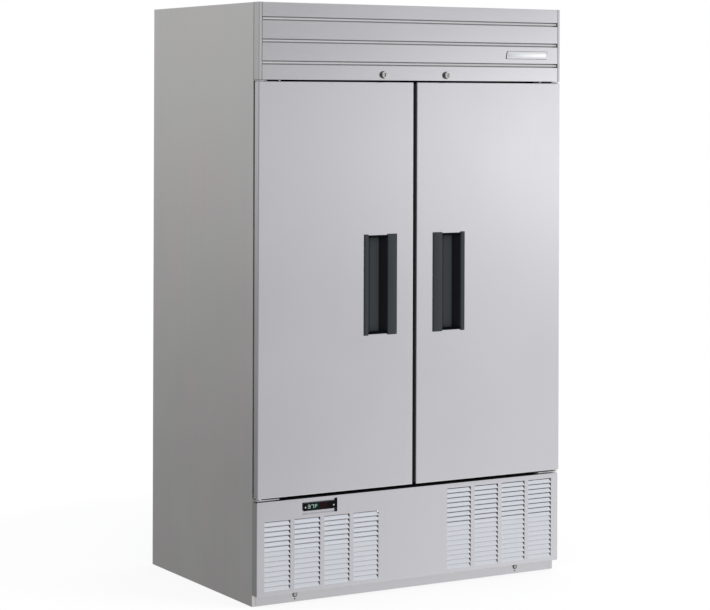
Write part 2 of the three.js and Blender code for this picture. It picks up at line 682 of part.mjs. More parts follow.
function suctionLine() {
  const segments = 8;
  const points = SUCTION_PATH.map(([y, z]) => new THREE.Vector3(SUCTION.x, y, z));
  const extrudePath = new THREE.CatmullRomCurve3(points, false, 'catmullrom', 0.1);
  const circle = Array.from({ length: segments }, (_, i) => {
    const angle = (i / segments) * 2 * Math.PI;
    return [SUCTION.radius * Math.cos(angle), SUCTION.radius * Math.sin(angle)];
  });
  const options = { steps: 22, extrudePath, bevelEnabled: false };
  return new THREE.ExtrudeGeometry(outline(circle), options);
}
add('suction_line', suctionLine(), COPPER);

// ---- evaporator unit at the top of the cavity -----------------------------------------
const EVAPORATOR_Z0 = 1700;
const EVAPORATOR_SEAT_Z = EVAPORATOR_Z0 + 2 + SEAT_GAP; // parts stand on the 2 mm floor
const EVAPORATOR_FAN_Y = -90;
const evaporatorCylinder = (z, radius, length, segments) => (
  cylinderZ(0, EVAPORATOR_FAN_Y, z, radius, length, segments));

// open-topped tray with a fan hole, four vents and two pipe holes in its floor
function evaporatorHousing() {
  const floorCut = [EVAPORATOR_Z0 - 10, EVAPORATOR_Z0 + 10];
  return cut(
    midBox(470, -200, 300, EVAPORATOR_Z0, CAVITY_Z1 - 0.8),
    midBox(468, -198, 298, EVAPORATOR_Z0 + 2, CAVITY_Z1),
    evaporatorCylinder(floorCut[0], 92, 20, 32),
    [-330, -230, 230, 330].map((x) => box(x - 34, x + 34, 160, 260, ...floorCut)),
    [DRAIN, SUCTION].map(({ x, y }) => box(x - 15, x + 15, y - 15, y + 15, ...floorCut)),
  );
}
add('evaporator_housing', evaporatorHousing(), ALUMINIUM);

const EVAPORATOR = {
  x: 0, halfX: 440, y0: 60, y1: 200, z0: 1740, z1: 1890, blockInsetZ: 5,
  tabs: { count: 3, z: 1762, pitch: 48, height: 9, reach: 12, insetY: 30 },
};
add('evaporator_coil', join(
  coilParts(EVAPORATOR),
  SIDES.map(({ sign }) => sideBox(sign, EVAPORATOR.halfX - 6, EVAPORATOR.halfX,
    EVAPORATOR.y0, EVAPORATOR.y1, EVAPORATOR_SEAT_Z, EVAPORATOR.z0 + 2)),
), ALUMINIUM);

// the fan stands upright
add('evaporator_fan_blade', cut(
  toGeometry(fan({ tipR: 84, hubR: 18, hubLength: 18 }))
    .rotateX(Math.PI / 2)
    .translate(0, EVAPORATOR_FAN_Y, 1712),
  evaporatorCylinder(1705, SHAFT_BORE_R, 40, 16),
), ALUMINIUM);

// shaft and motor body under a bridge on two legs
const BRIDGE = { x: 130, y0: EVAPORATOR_FAN_Y - 10, y1: EVAPORATOR_FAN_Y + 10, z1: 1794 };
add('evaporator_fan_motor', join(
  evaporatorCylinder(1716, SHAFT_R, 40, 16),
  evaporatorCylinder(1742, 32, 54, 24),
  midBox(BRIDGE.x, BRIDGE.y0, BRIDGE.y1, BRIDGE.z1 - 4, BRIDGE.z1),
  SIDES.map(({ sign }) => sideBox(
    sign, BRIDGE.x - 4, BRIDGE.x, BRIDGE.y0, BRIDGE.y1, EVAPORATOR_SEAT_Z, BRIDGE.z1)),
), PAINT);

add('drain_tube', cut(
  cylinderZ(DRAIN.x, DRAIN.y, 100, DRAIN.radius, 1590, 20),
  cylinderZ(DRAIN.x, DRAIN.y, 90, DRAIN.radius - 2.5, 1610, 20),
), BLACK);

// ---- shelves and their racks ----------------------------------------------------------
const SHELF_Z = { lower: 640, middle: 940, upper: 1240 };
const RACK_Y0 = -298;
const RACK_Y1 = 304;
const LEDGE = 12;                        // ledges reach out from the posts
const RACKS = [
  { name: 'left', x0: -CAVITY_X + 0.6, x1: -CAVITY_X + 13, leftLedge: 0, rightLedge: LEDGE },
  { name: 'right', x0: CAVITY_X - 13, x1: CAVITY_X - 0.6, leftLedge: LEDGE, rightLedge: 0 },
  { name: 'centre', x0: -9, x1: 9, leftLedge: LEDGE, rightLedge: LEDGE },
];

// front and back posts, with a ledge and a rib at each shelf
function shelfRack({ x0, x1, leftLedge, rightLedge }) {
  const posts = [[RACK_Y0, RACK_Y0 + 16], [RACK_Y1 - 16, RACK_Y1]];
  return join(
    posts.map(([y0, y1]) => box(x0, x1, y0, y1, CAVITY_Z0 + GAP, 1640)),
    Object.values(SHELF_Z).flatMap((z) => [
      box(x0 - leftLedge, x1 + rightLedge, RACK_Y0, RACK_Y1, z - 4, z - 1),
      box(x0 + 1, x1 - 1, RACK_Y0 + 8, RACK_Y1 - 8, z - 1.5, z + 3),
    ]),
  );
}
for (const rack of RACKS) add(`${rack.name}_shelf_rack`, shelfRack(rack), LINER);

// plate with slots running front to back
function shelf(sign, z) {
  const [x0, x1] = span(sign, 11, CAVITY_X - 15);
  const y0 = -294;
  const y1 = 314;
  const border = 8;
  const slots = 10;
  const pitch = (x1 - x0 - 2 * border) / slots;
  const holes = Array.from({ length: slots }, (_, i) => {
    const start = x0 + border + i * pitch;
    return [start + 2.5, start + pitch - 2.5, y0 + border, y1 - border];
  });
  return plateXY(x0, x1, y0, y1, z, z + 6, holes);
}
for (const [level, z] of Object.entries(SHELF_Z)) {
  for (const { name, sign } of SIDES) add(`${name}_${level}_shelf`, shelf(sign, z), WIRE);
}

export default root;
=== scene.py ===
import math
import random

import bmesh
import bpy
from mathutils import Matrix, Vector


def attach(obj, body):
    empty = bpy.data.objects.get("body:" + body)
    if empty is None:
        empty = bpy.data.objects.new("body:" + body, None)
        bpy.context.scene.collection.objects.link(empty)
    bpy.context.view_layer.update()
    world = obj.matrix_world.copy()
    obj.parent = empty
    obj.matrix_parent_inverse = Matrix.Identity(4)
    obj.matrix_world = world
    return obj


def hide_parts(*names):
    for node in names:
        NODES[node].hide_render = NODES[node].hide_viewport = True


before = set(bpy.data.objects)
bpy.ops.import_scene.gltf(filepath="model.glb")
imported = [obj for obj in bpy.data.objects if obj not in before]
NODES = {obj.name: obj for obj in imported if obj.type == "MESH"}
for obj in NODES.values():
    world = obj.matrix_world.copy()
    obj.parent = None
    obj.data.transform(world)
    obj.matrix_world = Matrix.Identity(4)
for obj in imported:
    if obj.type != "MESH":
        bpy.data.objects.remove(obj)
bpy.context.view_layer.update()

random.seed(7)
XS, YF, YC, YB, H = 0.603, -0.397, -0.359, 0.407, 1.988
PY = -0.391                                   # face of the lower panel
YM = YF + 0.027                               # back of the door pans


# ------------------------------------------------------------------ materials
class G:
    """A small node graph builder."""

    def __init__(self, name):
        self.m = bpy.data.materials.new(name)
        self.m.use_nodes = True
        self.t = self.m.node_tree
        self.t.nodes.clear()
        self.out = self.t.nodes.new("ShaderNodeOutputMaterial")
        self.co = self.t.nodes.new("ShaderNodeTexCoord").outputs["Object"]

    def n(self, kind, **kw):
        node = self.t.nodes.new(kind)
        for k, v in kw.items():
            setattr(node, k, v)
        return node

    def link(self, a, b):
        self.t.links.new(a, b)

    def math(self, op, a, b=None, c=None, clamp=False):
        node = self.n("ShaderNodeMath", operation=op, use_clamp=clamp)
        for i, v in enumerate((a, b, c)):
            if v is None:
                continue
            if isinstance(v, (int, float)):
                node.inputs[i].default_value = v
            else:
                self.link(v, node.inputs[i])
        return node.outputs[0]

    def noise(self, scale=(1, 1, 1), s=1.0, detail=3.0, rough=0.55, offset=(0, 0, 0), co=None):
        mp = self.n("ShaderNodeMapping")
        mp.inputs["Scale"].default_value = scale
        mp.inputs["Location"].default_value = offset
        self.link(co or self.co, mp.inputs["Vector"])
        no = self.n("ShaderNodeTexNoise")
        no.inputs["Scale"].default_value = s
        no.inputs["Detail"].default_value = detail
        no.inputs["Roughness"].default_value = rough
        self.link(mp.outputs[0], no.inputs["Vector"])
        return no.outputs["Fac"]

    def ramp(self, fac, stops, interp="LINEAR"):
        r = self.n("ShaderNodeValToRGB")
        r.color_ramp.interpolation = interp
        while len(r.color_ramp.elements) < len(stops):
            r.color_ramp.elements.new(0.5)
        for e, (p, c) in zip(r.color_ramp.elements, stops):
            e.position = p
            e.color = (*c, 1.0) if len(c) == 3 else c
        self.link(fac, r.inputs[0])
        return r.outputs[0]

    def tint(self, color, fac):
        """color times a scalar."""
        v = self.n("ShaderNodeVectorMath", operation="SCALE")
        if isinstance(color, tuple):
            v.inputs[0].default_value = color
        else:
            self.link(color, v.inputs[0])
        self.link(fac, v.inputs["Scale"])
        return v.outputs[0]

    def mix(self, fac, a, b):
        mx = self.n("ShaderNodeMix", data_type="RGBA")
        for sock, v in ((mx.inputs[0], fac), (mx.inputs[6], a), (mx.inputs[7], b)):
            if isinstance(v, tuple):
                sock.default_value = (*v, 1.0)
            elif isinstance(v, (int, float)):
                sock.default_value = v
            else:
                self.link(v, sock)
        return mx.outputs[2]

    def bsdf(self, base, rough, metal=0.0, bump=None, strength=0.1, dist=0.001, **kw):
        p = self.n("ShaderNodeBsdfPrincipled")
        for sock, v in (("Base Color", base), ("Roughness", rough), ("Metallic", metal)):
            if isinstance(v, tuple):
                p.inputs[sock].default_value = (*v, 1.0)
            elif isinstance(v, (int, float)):
                p.inputs[sock].default_value = v
            else:
                self.link(v, p.inputs[sock])
        for k, v in kw.items():
            p.inputs[k.replace("_", " ")].default_value = v
        if bump is not None:
            b = self.n("ShaderNodeBump")
            b.inputs["Strength"].default_value = strength
            b.inputs["Distance"].default_value = dist
            self.link(bump, b.inputs["Height"])
            self.link(b.outputs[0], p.inputs["Normal"])
        self.link(p.outputs[0], self.out.inputs[0])
        self.p = p
        return self.m


def steel(name, axis, base=(0.742, 0.736, 0.768), rough=0.22, clouds=0.025, streak=0.012, grain=0.022, bottom_darken=0.0, warm=0.0, aniso=0.15):
    """Brushed stainless: fine grain, wider streaks and slow clouding, all stretched along one axis."""
    g = G(name)
    fine = [1400.0] * 3
    wide = [70.0] * 3
    i = "xyz".index(axis)
    fine[i], wide[i] = 9.0, 0.9
    f = g.noise(fine, 1.0, 2.0)
    w = g.noise(wide, 1.0, 3.0, offset=(3.1, 7.7, 1.3))
    c = g.noise((1, 1, 1), 2.2, 2.0, offset=(9.0, 2.0, 5.0))
    k = g.math("MULTIPLY_ADD", f, 2 * grain, 1 - grain)
    k = g.math("MULTIPLY", k, g.math("MULTIPLY_ADD", w, 2 * streak, 1 - streak))
    k = g.math("MULTIPLY", k, g.math("MULTIPLY_ADD", c, 2 * clouds, 1 - clouds))
    # optional darkening towards the bottom, over the lowest 12 cm of object height
    if bottom_darken:
        sep = g.n("ShaderNodeSeparateXYZ")
        g.link(g.co, sep.inputs[0])
        low = g.math("MULTIPLY_ADD", sep.outputs[2], -1 / 0.12, 1.0, clamp=True)
        k = g.math("MULTIPLY", k, g.math("MULTIPLY_ADD", low, -bottom_darken, 1.0))
    if warm:
        h = g.ramp(g.noise((1, 1, 0.6), 3.4, 2.0, offset=(1.0, 8.0, 2.0)), [(0.38, (1 + warm, 1 - warm * 0.4, 1 - warm * 0.6)), (0.62, (1 - warm * 0.6, 1 + warm * 0.3, 1 - warm * 0.3))])
        v = g.n("ShaderNodeVectorMath", operation="MULTIPLY")
        g.link(h, v.inputs[0])
        v.inputs[1].default_value = base
        base = v.outputs[0]
    col = g.tint(base, k)
    r = g.math("ADD", g.math("MULTIPLY_ADD", f, 0.10, rough - 0.05), g.math("MULTIPLY_ADD", c, 0.08, -0.04))
    m = g.bsdf(col, r, 1.0, bump=f, strength=0.05, dist=0.0003)
    g.p.inputs["Anisotropic"].default_value = aniso
    t = g.n("ShaderNodeTangent", direction_type="RADIAL", axis={"x": "X", "y": "Y", "z": "Z"}["z"])
    g.link(t.outputs[0], g.p.inputs["Tangent"])
    g.p.inputs["Anisotropic Rotation"].default_value = 0.0 if axis == "z" else 0.25
    return m


def plastic(name, base, rough=0.4, bump=0.06, scale=1500.0, streak=None, spec=0.5, var=0.12):
    g = G(name)
    f = g.noise((1, 1, 1), scale, 2.0)
    c = g.noise((1, 1, 1), 9.0, 2.0, offset=(4, 4, 4))
    k = g.math("MULTIPLY_ADD", c, 2 * var, 1 - var)
    if streak:
        st = [420.0] * 3
        st["xyz".index(streak)] = 3.0
        s = g.noise(st, 1.0, 2.0)
        k = g.math("MULTIPLY", k, g.math("MULTIPLY_ADD", s, 0.3, 0.85))
    col = g.tint(base, k)
    r = g.math("MULTIPLY_ADD", c, 0.16, rough - 0.08)
    m = g.bsdf(col, r, 0.0, bump=f, strength=bump, dist=0.0005)
    g.p.inputs["Specular IOR Level"].default_value = spec
    return m


def galvanised(name):
    g = G(name)
    v = g.n("ShaderNodeTexVoronoi")
    v.inputs["Scale"].default_value = 55.0
    g.link(g.co, v.inputs["Vector"])
    sep = g.n("ShaderNodeSeparateColor")
    g.link(v.outputs["Color"], sep.inputs[0])
    f = g.noise((1, 1, 1), 300.0, 3.0)
    c = g.noise((1, 1, 1), 3.0, 2.0)
    k = g.math("MULTIPLY_ADD", sep.outputs[0], 0.16, 0.84)
    k = g.math("MULTIPLY", k, g.math("MULTIPLY_ADD", c, 0.2, 0.9))
    col = g.tint((0.62, 0.645, 0.67), k)
    r = g.math("MULTIPLY_ADD", sep.outputs[1], 0.18, 0.38)
    return g.bsdf(col, r, 0.9, bump=f, strength=0.06, dist=0.0004)


def metal(name, base, rough=0.25, scale=500.0, metallic=1.0, bump=0.05, var=0.06):
    g = G(name)
    f = g.noise((1, 1, 1), scale, 3.0)
    c = g.noise((1, 1, 1), 14.0, 2.0)
    col = g.tint(base, g.math("MULTIPLY_ADD", c, 2 * var, 1 - var))
    r = g.math("MULTIPLY_ADD", c, 0.14, rough - 0.07)
    return g.bsdf(col, r, metallic, bump=f, strength=bump, dist=0.0003)


def fins(name):
    """Packed aluminium fins, seen as fine parallel lines."""
    g = G(name)
    wv = g.n("ShaderNodeTexWave", wave_type="BANDS", bands_direction="X", wave_profile="TRI")
    wv.inputs["Scale"].default_value = 90.0
    wv.inputs["Distortion"].default_value = 0.4
    g.link(g.co, wv.inputs["Vector"])
    c = g.noise((1, 1, 1), 8.0, 3.0)
    k = g.math("MULTIPLY", g.math("MULTIPLY_ADD", wv.outputs["Fac"], 0.75, 0.25), g.math("MULTIPLY_ADD", c, 0.3, 0.85))
    return g.bsdf(g.tint((0.72, 0.73, 0.75), k), 0.42, 0.85, bump=wv.outputs["Fac"], strength=0.8, dist=0.002)


def foam(name):
    g = G(name)
    f = g.noise((1, 1, 1), 400.0, 4.0)
    c = g.noise((1, 1, 1), 6.0, 2.0)
    return g.bsdf(g.tint((0.80, 0.72, 0.46), g.math("MULTIPLY_ADD", c, 0.3, 0.85)), 0.9, 0.0, bump=f, strength=0.5, dist=0.002)


MAT = {
    "steel_z": steel("brushed_steel_vertical", "z"),
    "steel_side": steel("brushed_steel_side", "z", base=(0.748, 0.732, 0.724), rough=0.36, streak=0.03, clouds=0.04, warm=0.02),
    "steel_x": steel("brushed_steel_horizontal", "x", base=(0.72, 0.712, 0.735), rough=0.16, grain=0.018, streak=0.006, clouds=0.015),
    # darker copy of the side steel for the header trims: painted shade
    "steel_post_shaded": steel("brushed_steel_post", "z", base=(0.66, 0.65, 0.655), rough=0.28),
    "steel_low": steel("brushed_steel_base", "x", base=(0.74, 0.735, 0.755), rough=0.34, bottom_darken=0.05),
    # darker copy of the header steel: painted shade in the grooves
    "groove": steel("groove_steel_shaded", "x", base=(0.50, 0.495, 0.50), rough=0.45),
    # darker copy of the steel: painted shade on the side returns of the lower panel
    "steel_return_shaded": steel("brushed_steel_return_shaded", "z", base=(0.50, 0.50, 0.50), rough=0.42),
    "steel_y": steel("brushed_steel_top", "y"),
    # lighter, bluish copy of the panel steel: painted sky reflection on the blades
    "louvre": steel("louvre_steel_sky_lit", "x", base=(0.83, 0.85, 0.885), rough=0.36, streak=0.02),
    "strip": steel("brushed_steel_inlay", "x", base=(0.80, 0.80, 0.79), rough=0.30),
    "liner": steel("satin_liner", "z", base=(0.78, 0.785, 0.79), rough=0.46, streak=0.03),
    "handle": plastic("handle_moulded_plastic", (0.0195, 0.0240, 0.0275), 0.44, streak="z", spec=0.45),
    # darker, less glossy copy of the handle plastic: painted shade in the trough
    "handle_pit": plastic("handle_trough_shade_plastic", (0.0045, 0.005, 0.0065), 0.40, streak="z", spec=0.16),
    "rubber": plastic("gasket_rubber_mat", (0.028, 0.028, 0.030), 0.62, bump=0.12, scale=900.0, spec=0.3),
    "display": plastic("display_gloss_plastic", (0.0030, 0.0030, 0.0038), 0.22, bump=0.02, spec=0.08),
    # dark grey for the strips at the door edges: painted shade in the gap between the doors
    "edge": plastic("gap_shade_dark_grey", (0.050, 0.050, 0.049), 0.50, bump=0.05, scale=900.0, spec=0.25),
    # near-black: nylon collars and washers, and painted shade in the gaps, the trim seams, under the doors and round
    # the badge
    "black": plastic("black_nylon_and_painted_shade", (0.0035, 0.0035, 0.004), 0.85, bump=0.2, scale=1200.0, spec=0.08),
    "paint": plastic("black_enamel", (0.022, 0.023, 0.026), 0.32, bump=0.08, scale=380.0),
    "wire": plastic("epoxy_wire_coat", (0.78, 0.79, 0.79), 0.30, bump=0.05, scale=700.0, var=0.05),
    "tube": plastic("drain_plastic", (0.05, 0.05, 0.055), 0.42),
    "cord": plastic("cord_vinyl", (0.02, 0.02, 0.022), 0.5),
    "galv": galvanised("galvanised_sheet"),
    "alu": metal("mill_aluminium", (0.78, 0.785, 0.80), 0.34),
    "plaque": steel("plaque_aluminium", "x", base=(0.95, 0.95, 0.955), rough=0.30, streak=0.03),
    "chrome": metal("nickel_plate", (0.80, 0.79, 0.775), 0.24, var=0.10),
    "zinc": metal("zinc_plated_steel", (0.66, 0.665, 0.66), 0.42, var=0.10),
    # near-black metal: painted shade in the key slot
    "brass_dark": metal("keyway_painted_shade", (0.06, 0.055, 0.05), 0.5),
    # dark copy of the lock metal: painted shade on the side faces of the lock bezel
    "bezel_shaded_side": metal("lock_barrel_side", (0.17, 0.165, 0.16), 0.5),
    "copper": metal("copper_tube", (0.52, 0.32, 0.24), 0.42, var=0.15),
    "fins": fins("fin_pack"),
    "foam": foam("foam_mat"),
}


def glow(name, color, strength, noise=0.15):
    g = G(name)
    e = g.n("ShaderNodeEmission")
    c = g.noise((1, 1, 1), 600.0, 1.0)
    g.link(g.tint(color, g.math("MULTIPLY_ADD", c, 2 * noise, 1 - noise)), e.inputs[0])
    e.inputs[1].default_value = strength
    g.link(e.outputs[0], g.out.inputs[0])
    return g.m


# near-black plastic with no reflection: painted shade at the ends of the handle trough
MAT["pit_end"] = plastic("handle_trough_end_shade", (0.006, 0.0065, 0.008), 0.6, spec=0.0)
MAT["led"] = glow("led_green", (0.62, 0.80, 0.72), 0.74)
MAT["lens_red"] = plastic("display_red_filter", (0.0125, 0.0030, 0.0036), 0.22, spec=0.08)
MAT["lens_green"] = plastic("display_green_filter", (0.0030, 0.0125, 0.0105), 0.22, spec=0.08)


# ------------------------------------------------------------------ mesh helpers
def smooth(me, angle):
    bm = bmesh.new()
    bm.from_mesh(me)
    for f in bm.faces:
        f.smooth = True
    for e in bm.edges:
        e.smooth = len(e.link_faces) == 2 and e.calc_face_angle(0.0) < angle
    bm.to_mesh(me)
    bm.free()


class B:
    """Collects shapes, metres, into one piece."""

    def __init__(self):
        self.v, self.f, self.m = [], [], []

    def add(self, verts, faces, mi=0):
        o = len(self.v)
        self.v += [tuple(p) for p in verts]
        self.f += [tuple(i + o for i in f) for f in faces]
        self.m += [mi] * len(faces)
        return self

    def bm(self, bm, mi=0, mat=None):
        bm.verts.ensure_lookup_table()
        bm.verts.index_update()
        vs = [(mat @ v.co) if mat else v.co.copy() for v in bm.verts]
        self.add(vs, [[v.index for v in f.verts] for f in bm.faces], mi)
        bm.free()
        return self

    def rbox(self, x0, x1, y0, y1, z0, z1, r=0.0008, seg=2, mi=0):
        bm = bmesh.new()
        bmesh.ops.create_cube(bm, size=1.0)
        for v in bm.verts:
            v.co = Vector(((x0 + x1) / 2 + v.co.x * (x1 - x0), (y0 + y1) / 2 + v.co.y * (y1 - y0), (z0 + z1) / 2 + v.co.z * (z1 - z0)))
        r = min(r, 0.45 * min(x1 - x0, y1 - y0, z1 - z0))
        if r > 0:
            bmesh.ops.bevel(bm, geom=bm.edges[:], offset=r, segments=seg, profile=0.5, affect="EDGES")
        return self.bm(bm, mi)

    def prism(self, prof, axis, a, b, mi=0):
        """Closed outline, extruded along an axis. prof holds the two other coordinates, in x, y, z order."""
        def at(p, t):
            return {"x": (t, p[0], p[1]), "y": (p[0], t, p[1]), "z": (p[0], p[1], t)}[axis]
        n = len(prof)
        vs = [at(p, a) for p in prof] + [at(p, b) for p in prof]
        fs = [(i, (i + 1) % n, n + (i + 1) % n, n + i) for i in range(n)]
        fs += [tuple(reversed(range(n))), tuple(range(n, 2 * n))]
        return self.add(vs, fs, mi)

    def loft(self, rings, closed=False, caps=True, mi=0):
        """Rings of equal length, joined in order."""
        n = len(rings[0])
        vs = [p for r in rings for p in r]
        fs = []
        for k in range(len(rings) - (0 if closed else 1)):
            a, b = k * n, ((k + 1) % len(rings)) * n
            fs += [(a + i, a + (i + 1) % n, b + (i + 1) % n, b + i) for i in range(n)]
        if caps and not closed:
            fs += [tuple(reversed(range(n))), tuple(range((len(rings) - 1) * n, len(rings) * n))]
        return self.add(vs, fs, mi)

    def lathe(self, prof, origin, axis, n=32, mi=0):
        """prof: (radius, distance along axis) from one end to the other, radius 0 at both ends or closed."""
        ax = Vector(axis).normalized()
        u = ax.orthogonal().normalized()
        w = ax.cross(u)
        rings = [[Vector(origin) + ax * d + (u * math.cos(t) + w * math.sin(t)) * max(r, 1e-5) for t in [2 * math.pi * i / n for i in range(n)]] for r, d in prof]
        return self.loft(rings, mi=mi)

    def tube(self, pts, r, n=8, closed=False, mi=0):
        pts = [Vector(p) for p in pts]
        k = len(pts)
        rings, up = [], None
        for i, p in enumerate(pts):
            a = pts[(i - 1) % k] if (closed or i > 0) else p
            b = pts[(i + 1) % k] if (closed or i < k - 1) else p
            d1 = (p - a).normalized() if (p - a).length > 1e-9 else (b - p).normalized()
            d2 = (b - p).normalized() if (b - p).length > 1e-9 else d1
            t = (d1 + d2).normalized()
            if up is None:
                up = t.orthogonal().normalized()
            up = (up - t * up.dot(t)).normalized()
            w = t.cross(up)
            s = 1.0 / max(0.5, math.sqrt(max(0.0, (1 + d1.dot(d2)) / 2)))
            side = (d2 - d1)
            ring = []
            for j in range(n):
                an = 2 * math.pi * j / n
                o = (up * math.cos(an) + w * math.sin(an)) * r
                if side.length > 1e-6:
                    sd = side.normalized()
                    o += sd * o.dot(sd) * (s - 1)
                ring.append(p + o)
            rings.append(ring)
        return self.loft(rings, closed=closed, mi=mi)

    def obj(self, name, mats, body="cabinet", replaces=(), slot=None, angle=35, bevel=0.0, weld=1e-5, solid=None):
        me = bpy.data.meshes.new(name)
        me.from_pydata(self.v, [], self.f)
        for i, p in enumerate(me.polygons):
            p.material_index = self.m[i]
        bm = bmesh.new()
        bm.from_mesh(me)
        bmesh.ops.remove_doubles(bm, verts=bm.verts, dist=weld)
        bmesh.ops.recalc_face_normals(bm, faces=bm.faces)
        bm.to_mesh(me)
        bm.free()
        smooth(me, math.radians(angle))
        o = bpy.data.objects.new(name, me)
        bpy.context.scene.collection.objects.link(o)
        for m in mats if isinstance(mats, (list, tuple)) else [mats]:
            me.materials.append(MAT[m])
        if solid:
            s = o.modifiers.new("sheet", "SOLIDIFY")
            s.thickness, s.offset = solid
            s.use_even_offset = True
        if bevel:
            b = o.modifiers.new("edge", "BEVEL")
            b.width, b.segments, b.limit_method, b.angle_limit = bevel, 2, "ANGLE", math.radians(40)
        weighted(o)
        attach(o, body)
        if replaces:
            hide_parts(*replaces)
        return o


def weighted(o):
    """Flat faces keep flat shading up to their rounded edges."""
    w = o.modifiers.new("weighted", "WEIGHTED_NORMAL")
    w.mode, w.weight, w.keep_sharp = "FACE_AREA", 80, True


def rrect(x0, x1, z0, z1, r, y, n=5):
    """Rounded rectangle in the XZ plane at y, anticlockwise, 4 * (n + 1) points."""
    r = max(1e-5, min(r, (x1 - x0) / 2 - 1e-5, (z1 - z0) / 2 - 1e-5))
    pts = []
    for cx, cz, a0 in ((x1 - r, z1 - r, 0), (x0 + r, z1 - r, 90), (x0 + r, z0 + r, 180), (x1 - r, z0 + r, 270)):
        for i in range(n + 1):
            a = math.radians(a0 + 90 * i / n)
            pts.append(Vector((cx + r * math.cos(a), y, cz + r * math.sin(a))))
    return pts


def arc2(c, r, a0, a1, n):
    return [(c[0] + r * math.cos(math.radians(a0 + (a1 - a0) * i / n)), c[1] + r * math.sin(math.radians(a0 + (a1 - a0) * i / n))) for i in range(n + 1)]


def round_path(pts, radii, n=3):
    """A polyline with its inner corners rounded."""
    out = [Vector(pts[0])]
    for i in range(1, len(pts) - 1):
        p, a, b = Vector(pts[i]), Vector(pts[i - 1]), Vector(pts[i + 1])
        r = radii if isinstance(radii, float) else radii[i]
        d1, d2 = (a - p), (b - p)
        r = min(r, d1.length * 0.45, d2.length * 0.45)
        s, e = p + d1.normalized() * r, p + d2.normalized() * r
        for k in range(n + 1):
            t = k / n
            out.append(s.lerp(p, t).lerp(p.lerp(e, t), t))
    out.append(Vector(pts[-1]))
    return out


def offset_closed(path, t):
    """A closed outline: the 2D path, and the path moved t to its left, reversed."""
    n = len(path)
    off = []
    for i, p in enumerate(path):
        d1 = (path[i] - path[i - 1]).normalized() if i else (path[1] - path[0]).normalized()
        d2 = (path[i + 1] - path[i]).normalized() if i < n - 1 else d1
        n1, n2 = Vector((-d1.y, d1.x)), Vector((-d2.y, d2.x))
        k = t / max(0.35, 1 + n1.dot(n2))
        off.append(p + (n1 + n2) * k)
    return list(path) + off[::-1]


def bool_cut(o, cutters):
    """Cuts the builder pieces out of o, and applies the result."""
    for c in cutters:
        me = bpy.data.meshes.new("cutter")
        me.from_pydata(c.v, [], c.f)
        bm = bmesh.new()
        bm.from_mesh(me)
        bmesh.ops.recalc_face_normals(bm, faces=bm.faces)
        bm.to_mesh(me)
        bm.free()
        co = bpy.data.objects.new("cutter", me)
        bpy.context.scene.collection.objects.link(co)
        m = o.modifiers.new("cut", "BOOLEAN")
        m.operation, m.solver, m.object = "DIFFERENCE", "EXACT", co
        dg = bpy.context.evaluated_depsgraph_get()
        dg.update()
        new = bpy.data.meshes.new_from_object(o.evaluated_get(dg))
        o.modifiers.clear()
        o.data = new
        bpy.data.objects.remove(co)
    smooth(o.data, math.radians(35))
    weighted(o)


def refine(node, mat, bevel=0.0006, seg=2, angle=35):
    """A CAD node keeps its shape and place: it gets its material, and its sharp edges a fine radius."""
    o = NODES[node]
    o.data.materials.clear()
    o.data.materials.append(MAT[mat])
    for p in o.data.polygons:
        p.material_index = 0
    at = o.data.attributes.get("custom_normal")
    if at:
        o.data.attributes.remove(at)
    o.data.polygons.foreach_set("use_smooth", [True] * len(o.data.polygons))
    w = o.modifiers.new("weld", "WELD")
    w.merge_threshold = 1e-5
    b = o.modifiers.new("edge", "BEVEL")
    b.width, b.segments, b.limit_method, b.angle_limit = bevel, seg, "ANGLE", math.radians(angle)
    b.harden_normals = True
    b.use_clamp_overlap = True


# ------------------------------------------------------------------ cabinet
for nm in ("left", "right"):
    refine(f"{nm}_side_panel", "steel_side", 0.0007)
refine("top_panel", "steel_y", 0.0006)
refine("plinth", "steel_low", 0.0006)
refine("rear_panel", "galv", 0.0005)
refine("rear_grille", "galv", 0.0004)
refine("base_frame", "galv", 0.001)
refine("unit_tray", "galv", 0.0005)
refine("condensate_pan", "galv", 0.0005)
refine("insulation", "foam", 0.001)
refine("inner_liner", "liner", 0.001)
refine("face_frame", "liner", 0.0005)
refine("centre_mullion", "liner", 0.003, 3)
refine("compressor", "paint", 0.002)
refine("condenser_coil", "fins", 0.0005)
refine("condenser_fan_shroud", "paint", 0.0005)
refine("condenser_fan_motor", "paint", 0.0015)
refine("condenser_fan_blade", "alu", 0.0004)
refine("evaporator_coil", "fins", 0.0005)
refine("evaporator_fan_motor", "paint", 0.001)
refine("evaporator_fan_blade", "alu", 0.0004)
refine("evaporator_housing", "alu", 0.0006)
refine("suction_line", "copper", 0.0002, 1, 60)
refine("drain_tube", "tube", 0.0005)
for nm in ("left", "right"):
    refine(f"{nm}_door_skin", "steel_z", 0.0005, 2)
    o = NODES[f"{nm}_door_skin"]
    front = {v.index for v in o.data.vertices if abs(v.co.y - YF) < 1e-5 and (abs(abs(v.co.x) - XS) < 1e-5 or abs(abs(v.co.x) - 0.007) < 1e-5 or abs(v.co.z - 0.35825) < 1e-5 or abs(v.co.z - 1.727) < 1e-5)}
    at = o.data.attributes.get("bevel_weight_edge") or o.data.attributes.new("bevel_weight_edge", "FLOAT", "EDGE")
    for e in o.data.edges:
        a, c = (o.data.vertices[k].co for k in e.vertices)
        at.data[e.index].value = 1.0 if e.vertices[0] in front and e.vertices[1] in front and (abs(a.x - c.x) < 1e-5 or abs(a.z - c.z) < 1e-5) and (abs(abs(a.x) - XS) < 1e-5 or abs(abs(a.x) - 0.007) < 1e-5 or abs(a.x - c.x) > 0.3) else 0.0
    fb = o.modifiers.new("fold", "BEVEL")
    fb.width, fb.segments, fb.limit_method = 0.0024, 4, "WEIGHT"
    fb.use_clamp_overlap = False
    o.modifiers.move(o.modifiers.find("fold"), 1)
    o.modifiers["edge"].harden_normals = False
    weighted(o)
    refine(f"{nm}_bottom_hinge", "zinc", 0.0006)
    refine(f"{nm}_top_hinge", "zinc", 0.0006)

